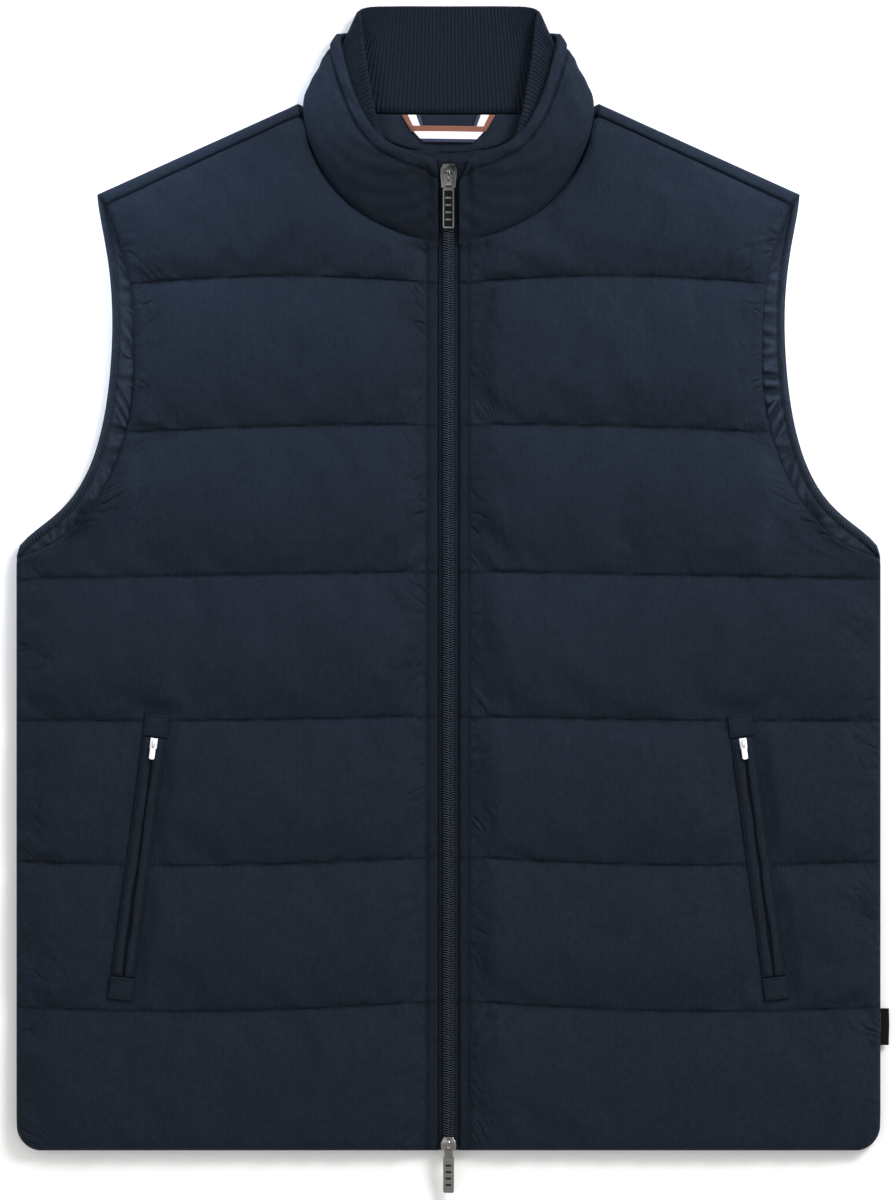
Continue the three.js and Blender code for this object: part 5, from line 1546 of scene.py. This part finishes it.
def fill_recess(obj, depth_mm, look):
    """Enamel on the recess: faces that look the way the front does, but lie a depth below it."""
    mesh = obj.data
    mesh.materials.append(look)
    normals = np.zeros(len(mesh.polygons) * 3)
    centres = np.zeros(len(mesh.polygons) * 3)
    mesh.polygons.foreach_get("normal", normals)
    mesh.polygons.foreach_get("center", centres)
    normals, centres = normals.reshape(-1, 3), centres.reshape(-1, 3)
    facing_up = normals[np.argmax(normals[:, 2])]
    height = centres @ facing_up / MM
    below = height.max() - height - depth_mm
    chosen = (np.abs(below) < RECESS_TOLERANCE) & (normals @ facing_up > 0.99)
    mesh.polygons.foreach_set("material_index", chosen.astype(np.int32))
    print(obj.name, int(chosen.sum()), "recess faces")


cast_copy("zip_slider_top", nickel_painted_dark, "vest", 0.35)
fill_recess(cast_copy("zip_pull_top", nickel, "top_pull", 0.12), 0.5, black_enamel_and_painted_shade)


# %% The eye of the top pull
PULL_HINGE = (0, 630.4, 25.78)
PULL_SLOPE = math.radians(16.8)


def pull_detail(name, centre, half_length, half_width, height, look):
    """A small rounded plate on the top pull, a distance from its hinge down along its slope."""
    down = np.array([0, -math.cos(PULL_SLOPE), -math.sin(PULL_SLOPE)])
    above = np.array([0, -math.sin(PULL_SLOPE), math.cos(PULL_SLOPE)])
    edge = min(0.35, half_width / 2)
    rings = ring_of([half_width - edge, half_width, half_width, half_width - edge],
                    [height / 2, height, height, height / 2],
                    [-half_length, edge - half_length, half_length - edge, half_length],
                    sides=12, power=0.4)
    origins = (np.array(PULL_HINGE) + down * centre + above * 0.8)[None]
    points, quads = repeat(tube(rings), origins, np.stack([down, [1.0, 0, 0], above])[None])
    return add_solid(name, points, quads, look, "top_pull", ["zip_pull_top"])


# Black plates paint the shadow in the pull's hole and slot; the plate between them is the pull's own metal.
pull_detail("pull_top_hole_painted_shadow", 0.9, 1.5, 1.15, 0.14, black_enamel_and_painted_shade)
pull_detail("pull_top_plate", 4.7, 2.1, 1.7, 0.4, nickel)
pull_detail("pull_top_slot_painted_shadow", 7.5, 0.45, 2.1, 0.14, black_enamel_and_painted_shade)
cast_copy("zip_slider_bottom", gunmetal, "vest", 0.35)
fill_recess(cast_copy("zip_pull_bottom", gunmetal, "bottom_pull", 0.12), 0.2, black_enamel_and_painted_shade)
for label in ("right", "left"):
    cast_copy(f"pocket_slider_{label}", white_enamel, "vest", 0.15)
    cast_copy(f"pocket_pull_{label}", white_enamel, f"{label}_pocket_pull", 0.12)

# %% [markdown]
# ## The pockets
#
# Each pocket is a slit between two folded welts, closed at its ends by small square tabs sewn down
# all round. Its zip is hidden between the welts. The welts are soft: they wander a little and their
# edges ripple between stitches.

# %% A pocket's own frame
POCKET_SEAT = 3.2
POCKET_GROUND = FRONT_INSIDE + POCKET_SEAT + POCKET_LIFT
POCKET_TURN = np.array([[math.cos(POCKET["slant"]), math.sin(POCKET["slant"])],
                        [-math.sin(POCKET["slant"]), math.cos(POCKET["slant"])]])
WELT_WIDE = 7.6
WELT_ACROSS = np.array([0.0, 0.03, 0.08, 0.16, 0.28, 0.42, 0.56, 0.68, 0.76, 0.82, 0.88, 0.95, 1.0])
TAB_HALF = 8.0
BESIDE_WELT = 10.6
TAB_STITCHES = np.array([(-6, 2), (6, 2), (6, 13), (-6, 13), (-6, 2)], dtype=float)


def on_pocket(points, side):
    """Places across, along and above the right pocket's slit, to millimetres on the garment."""
    flat = points[..., :2] @ POCKET_TURN + np.array([POCKET["x"], POCKET["y"]])
    placed = np.concatenate([flat, points[..., 2:] + POCKET_GROUND], -1)
    return mirror(placed, side)


def welt_points(direction, seed):
    """A welt: a flat folded strip with a roll at the slit and a stitched line near its far edge."""
    lengthwise = np.linspace(-POCKET["half"] + 0.4, POCKET["half"] - 0.4, 170)[:, None]
    across = WELT_ACROSS[None, :]
    slit = 0.75 + 0.35 * ripples(lengthwise, 0, 34, seed) + 0.1 * ripples(lengthwise, 0, 9, seed + 1)
    u = direction * mix(np.clip(slit, 0.35, 1.4), WELT_WIDE, across)
    rise = np.interp(across, (0, 0.03, 0.08, 0.2, 0.45, 0.7, 0.82, 0.92, 1.0),
                     (0.7, 1.7, 2.4, 3.0, 3.0, 2.6, 1.6, 2.1, 0.9))
    rise = rise + 0.13 * ripples(lengthwise, across * 5, 9, seed + 2) * smooth(0.0, 0.2, across)
    rise = rise + 0.15 * ripples(lengthwise, across * 8, 26, seed + 3)
    ends = np.minimum(lengthwise + POCKET["half"], POCKET["half"] - lengthwise)
    rise = rise * (0.5 + 0.5 * smooth(0, 3, ends))
    # Painted shade along the stitched line and at the welt's far edge.
    shade = 1 - 0.45 * bell(across - 0.82, 0.05) - 0.4 * smooth(0.9, 1.0, across)
    return join(u, lengthwise, rise), shade + 0 * rise


def tab_points(direction, seed):
    """A tab: a small cushion with a stitched border 2 mm inside its edge."""
    across, upward = lattice(toward_ends(26, 0.5), toward_ends(25, 0.5))
    u = mix(-TAB_HALF, TAB_HALF, across)
    v = POCKET["half"] + mix(0.0, POCKET["tab"], upward)
    edge = np.minimum(np.minimum(u + TAB_HALF, TAB_HALF - u),
                      np.minimum(v - POCKET["half"], POCKET["half"] + POCKET["tab"] - v))
    rise = 1.2 + 1.25 * rounded(edge, 1.6) - 0.25 * bell(edge - 2.0, 0.55)
    rise = rise + 0.12 * ripples(u, v, 7, seed) * smooth(0, 2, edge)
    # Painted shade along the stitched border and at the tab's edge.
    shade = 1 - 0.3 * bell(edge - 1.9, 0.6) - 0.45 * (1 - smooth(0, 0.7, edge))
    return join(u * direction, v * direction, rise), shade


def pocket_piece(name, node, side, top, shade):
    """A piece of a pocket from its upper face, standing on the front."""
    low = top.copy()
    low[..., 2] = 0.1
    piece = add_wall(name, on_pocket(top, side), on_pocket(low, side), trim_cloth, [node])
    set_attribute(piece, "shade", shade)
    return piece


# %% Welts, tabs and the zip between
corners = zip(TAB_STITCHES[:-1], TAB_STITCHES[1:])
box = np.concatenate([mix(a, b, np.linspace(0, 0.98, 12)[:, None]) for a, b in corners])
box = join(box[:, 0], box[:, 1] + POCKET["half"], 1.9)
for side, label in SIDES:
    for direction, where in ((-1, "inner"), (1, "outer")):
        top, shade = welt_points(direction, 130 + 10 * side + direction)
        welt = pocket_piece(f"welt_{where}_{label}", f"pocket_welt_{where}_{label}", side, top, shade)
        sew(on_pocket(top, side)[2:-2, 9], lift=0.25, pitch=2.6)
        beside = join(direction * BESIDE_WELT, np.linspace(-88, 88, 100), 0.1)
        sew(on_pocket(beside, side), lift=0.05, pitch=2.8)
    for direction, where in ((1, "top"), (-1, "bottom")):
        top, shade = tab_points(direction, 150 + side + 3 * direction)
        tab = pocket_piece(f"tab_{where}_{label}", f"pocket_tab_{where}_{label}", side, top, shade)
        sew(on_pocket(box * [direction, direction, 1], side), lift=0.1, pitch=2.2)
    zip_across, zip_along = lattice(np.linspace(-2.3, 2.3, 8), np.linspace(-77.5, 77.5, 120))
    zip_rise = 1.15 - 0.06 * zip_across ** 2 + 0.1 * ripples(zip_along, zip_across, 6, 170 + side)
    zip_strip = thin_sheet(f"pocket_zip_cloth_{label}",
                           on_pocket(join(zip_across, zip_along, zip_rise), side), 0.5,
                           pocket_zip_cloth, [f"pocket_zip_{label}"])
    cloth_area(zip_strip)

# %% [markdown]
# ## The side label and all the thread
#
# A small dark label stands out of the side seam: a strip folded once, with both ends sewn in. It is
# left bare. All the stitches gathered on the way become one piece of thread.

# %% The folded label
LABEL_MIDDLE = 4.35
LABEL_THICK = 0.35
label_turn = np.linspace(0, 1, 27)
label_x = np.interp(label_turn, (0, 0.46, 0.5, 0.54, 1), (280.0, 285.1, 285.45, 285.1, 280.0))
label_z = np.interp(label_turn, (0, 0.4, 0.5, 0.6, 1), (3.75, 3.75, LABEL_MIDDLE, 4.95, 4.95))
label_y = np.linspace(68, 91.8, 30)
label_outer = join(label_x[:, None], label_y, label_z[:, None])
label_outer[..., 0] += 0.12 * np.sin(label_y / 4.0)
inward = join(0, 0, np.sign(LABEL_MIDDLE - label_z) * LABEL_THICK)
inward[label_turn == 0.5] = (-LABEL_THICK, 0, 0)
side_label = add_wall("side_label_cloth", label_outer, label_outer + inward[:, None], label_cloth,
                      ["side_label"])
cloth_area(side_label)

# %% All the thread
origins, axes = (np.concatenate(parts) for parts in zip(*stitches))
thread_points, thread_quads = repeat(stitch_shape, origins, axes)
add_solid("stitches", thread_points, thread_quads, thread_look, "vest")
print("stitches:", len(origins))
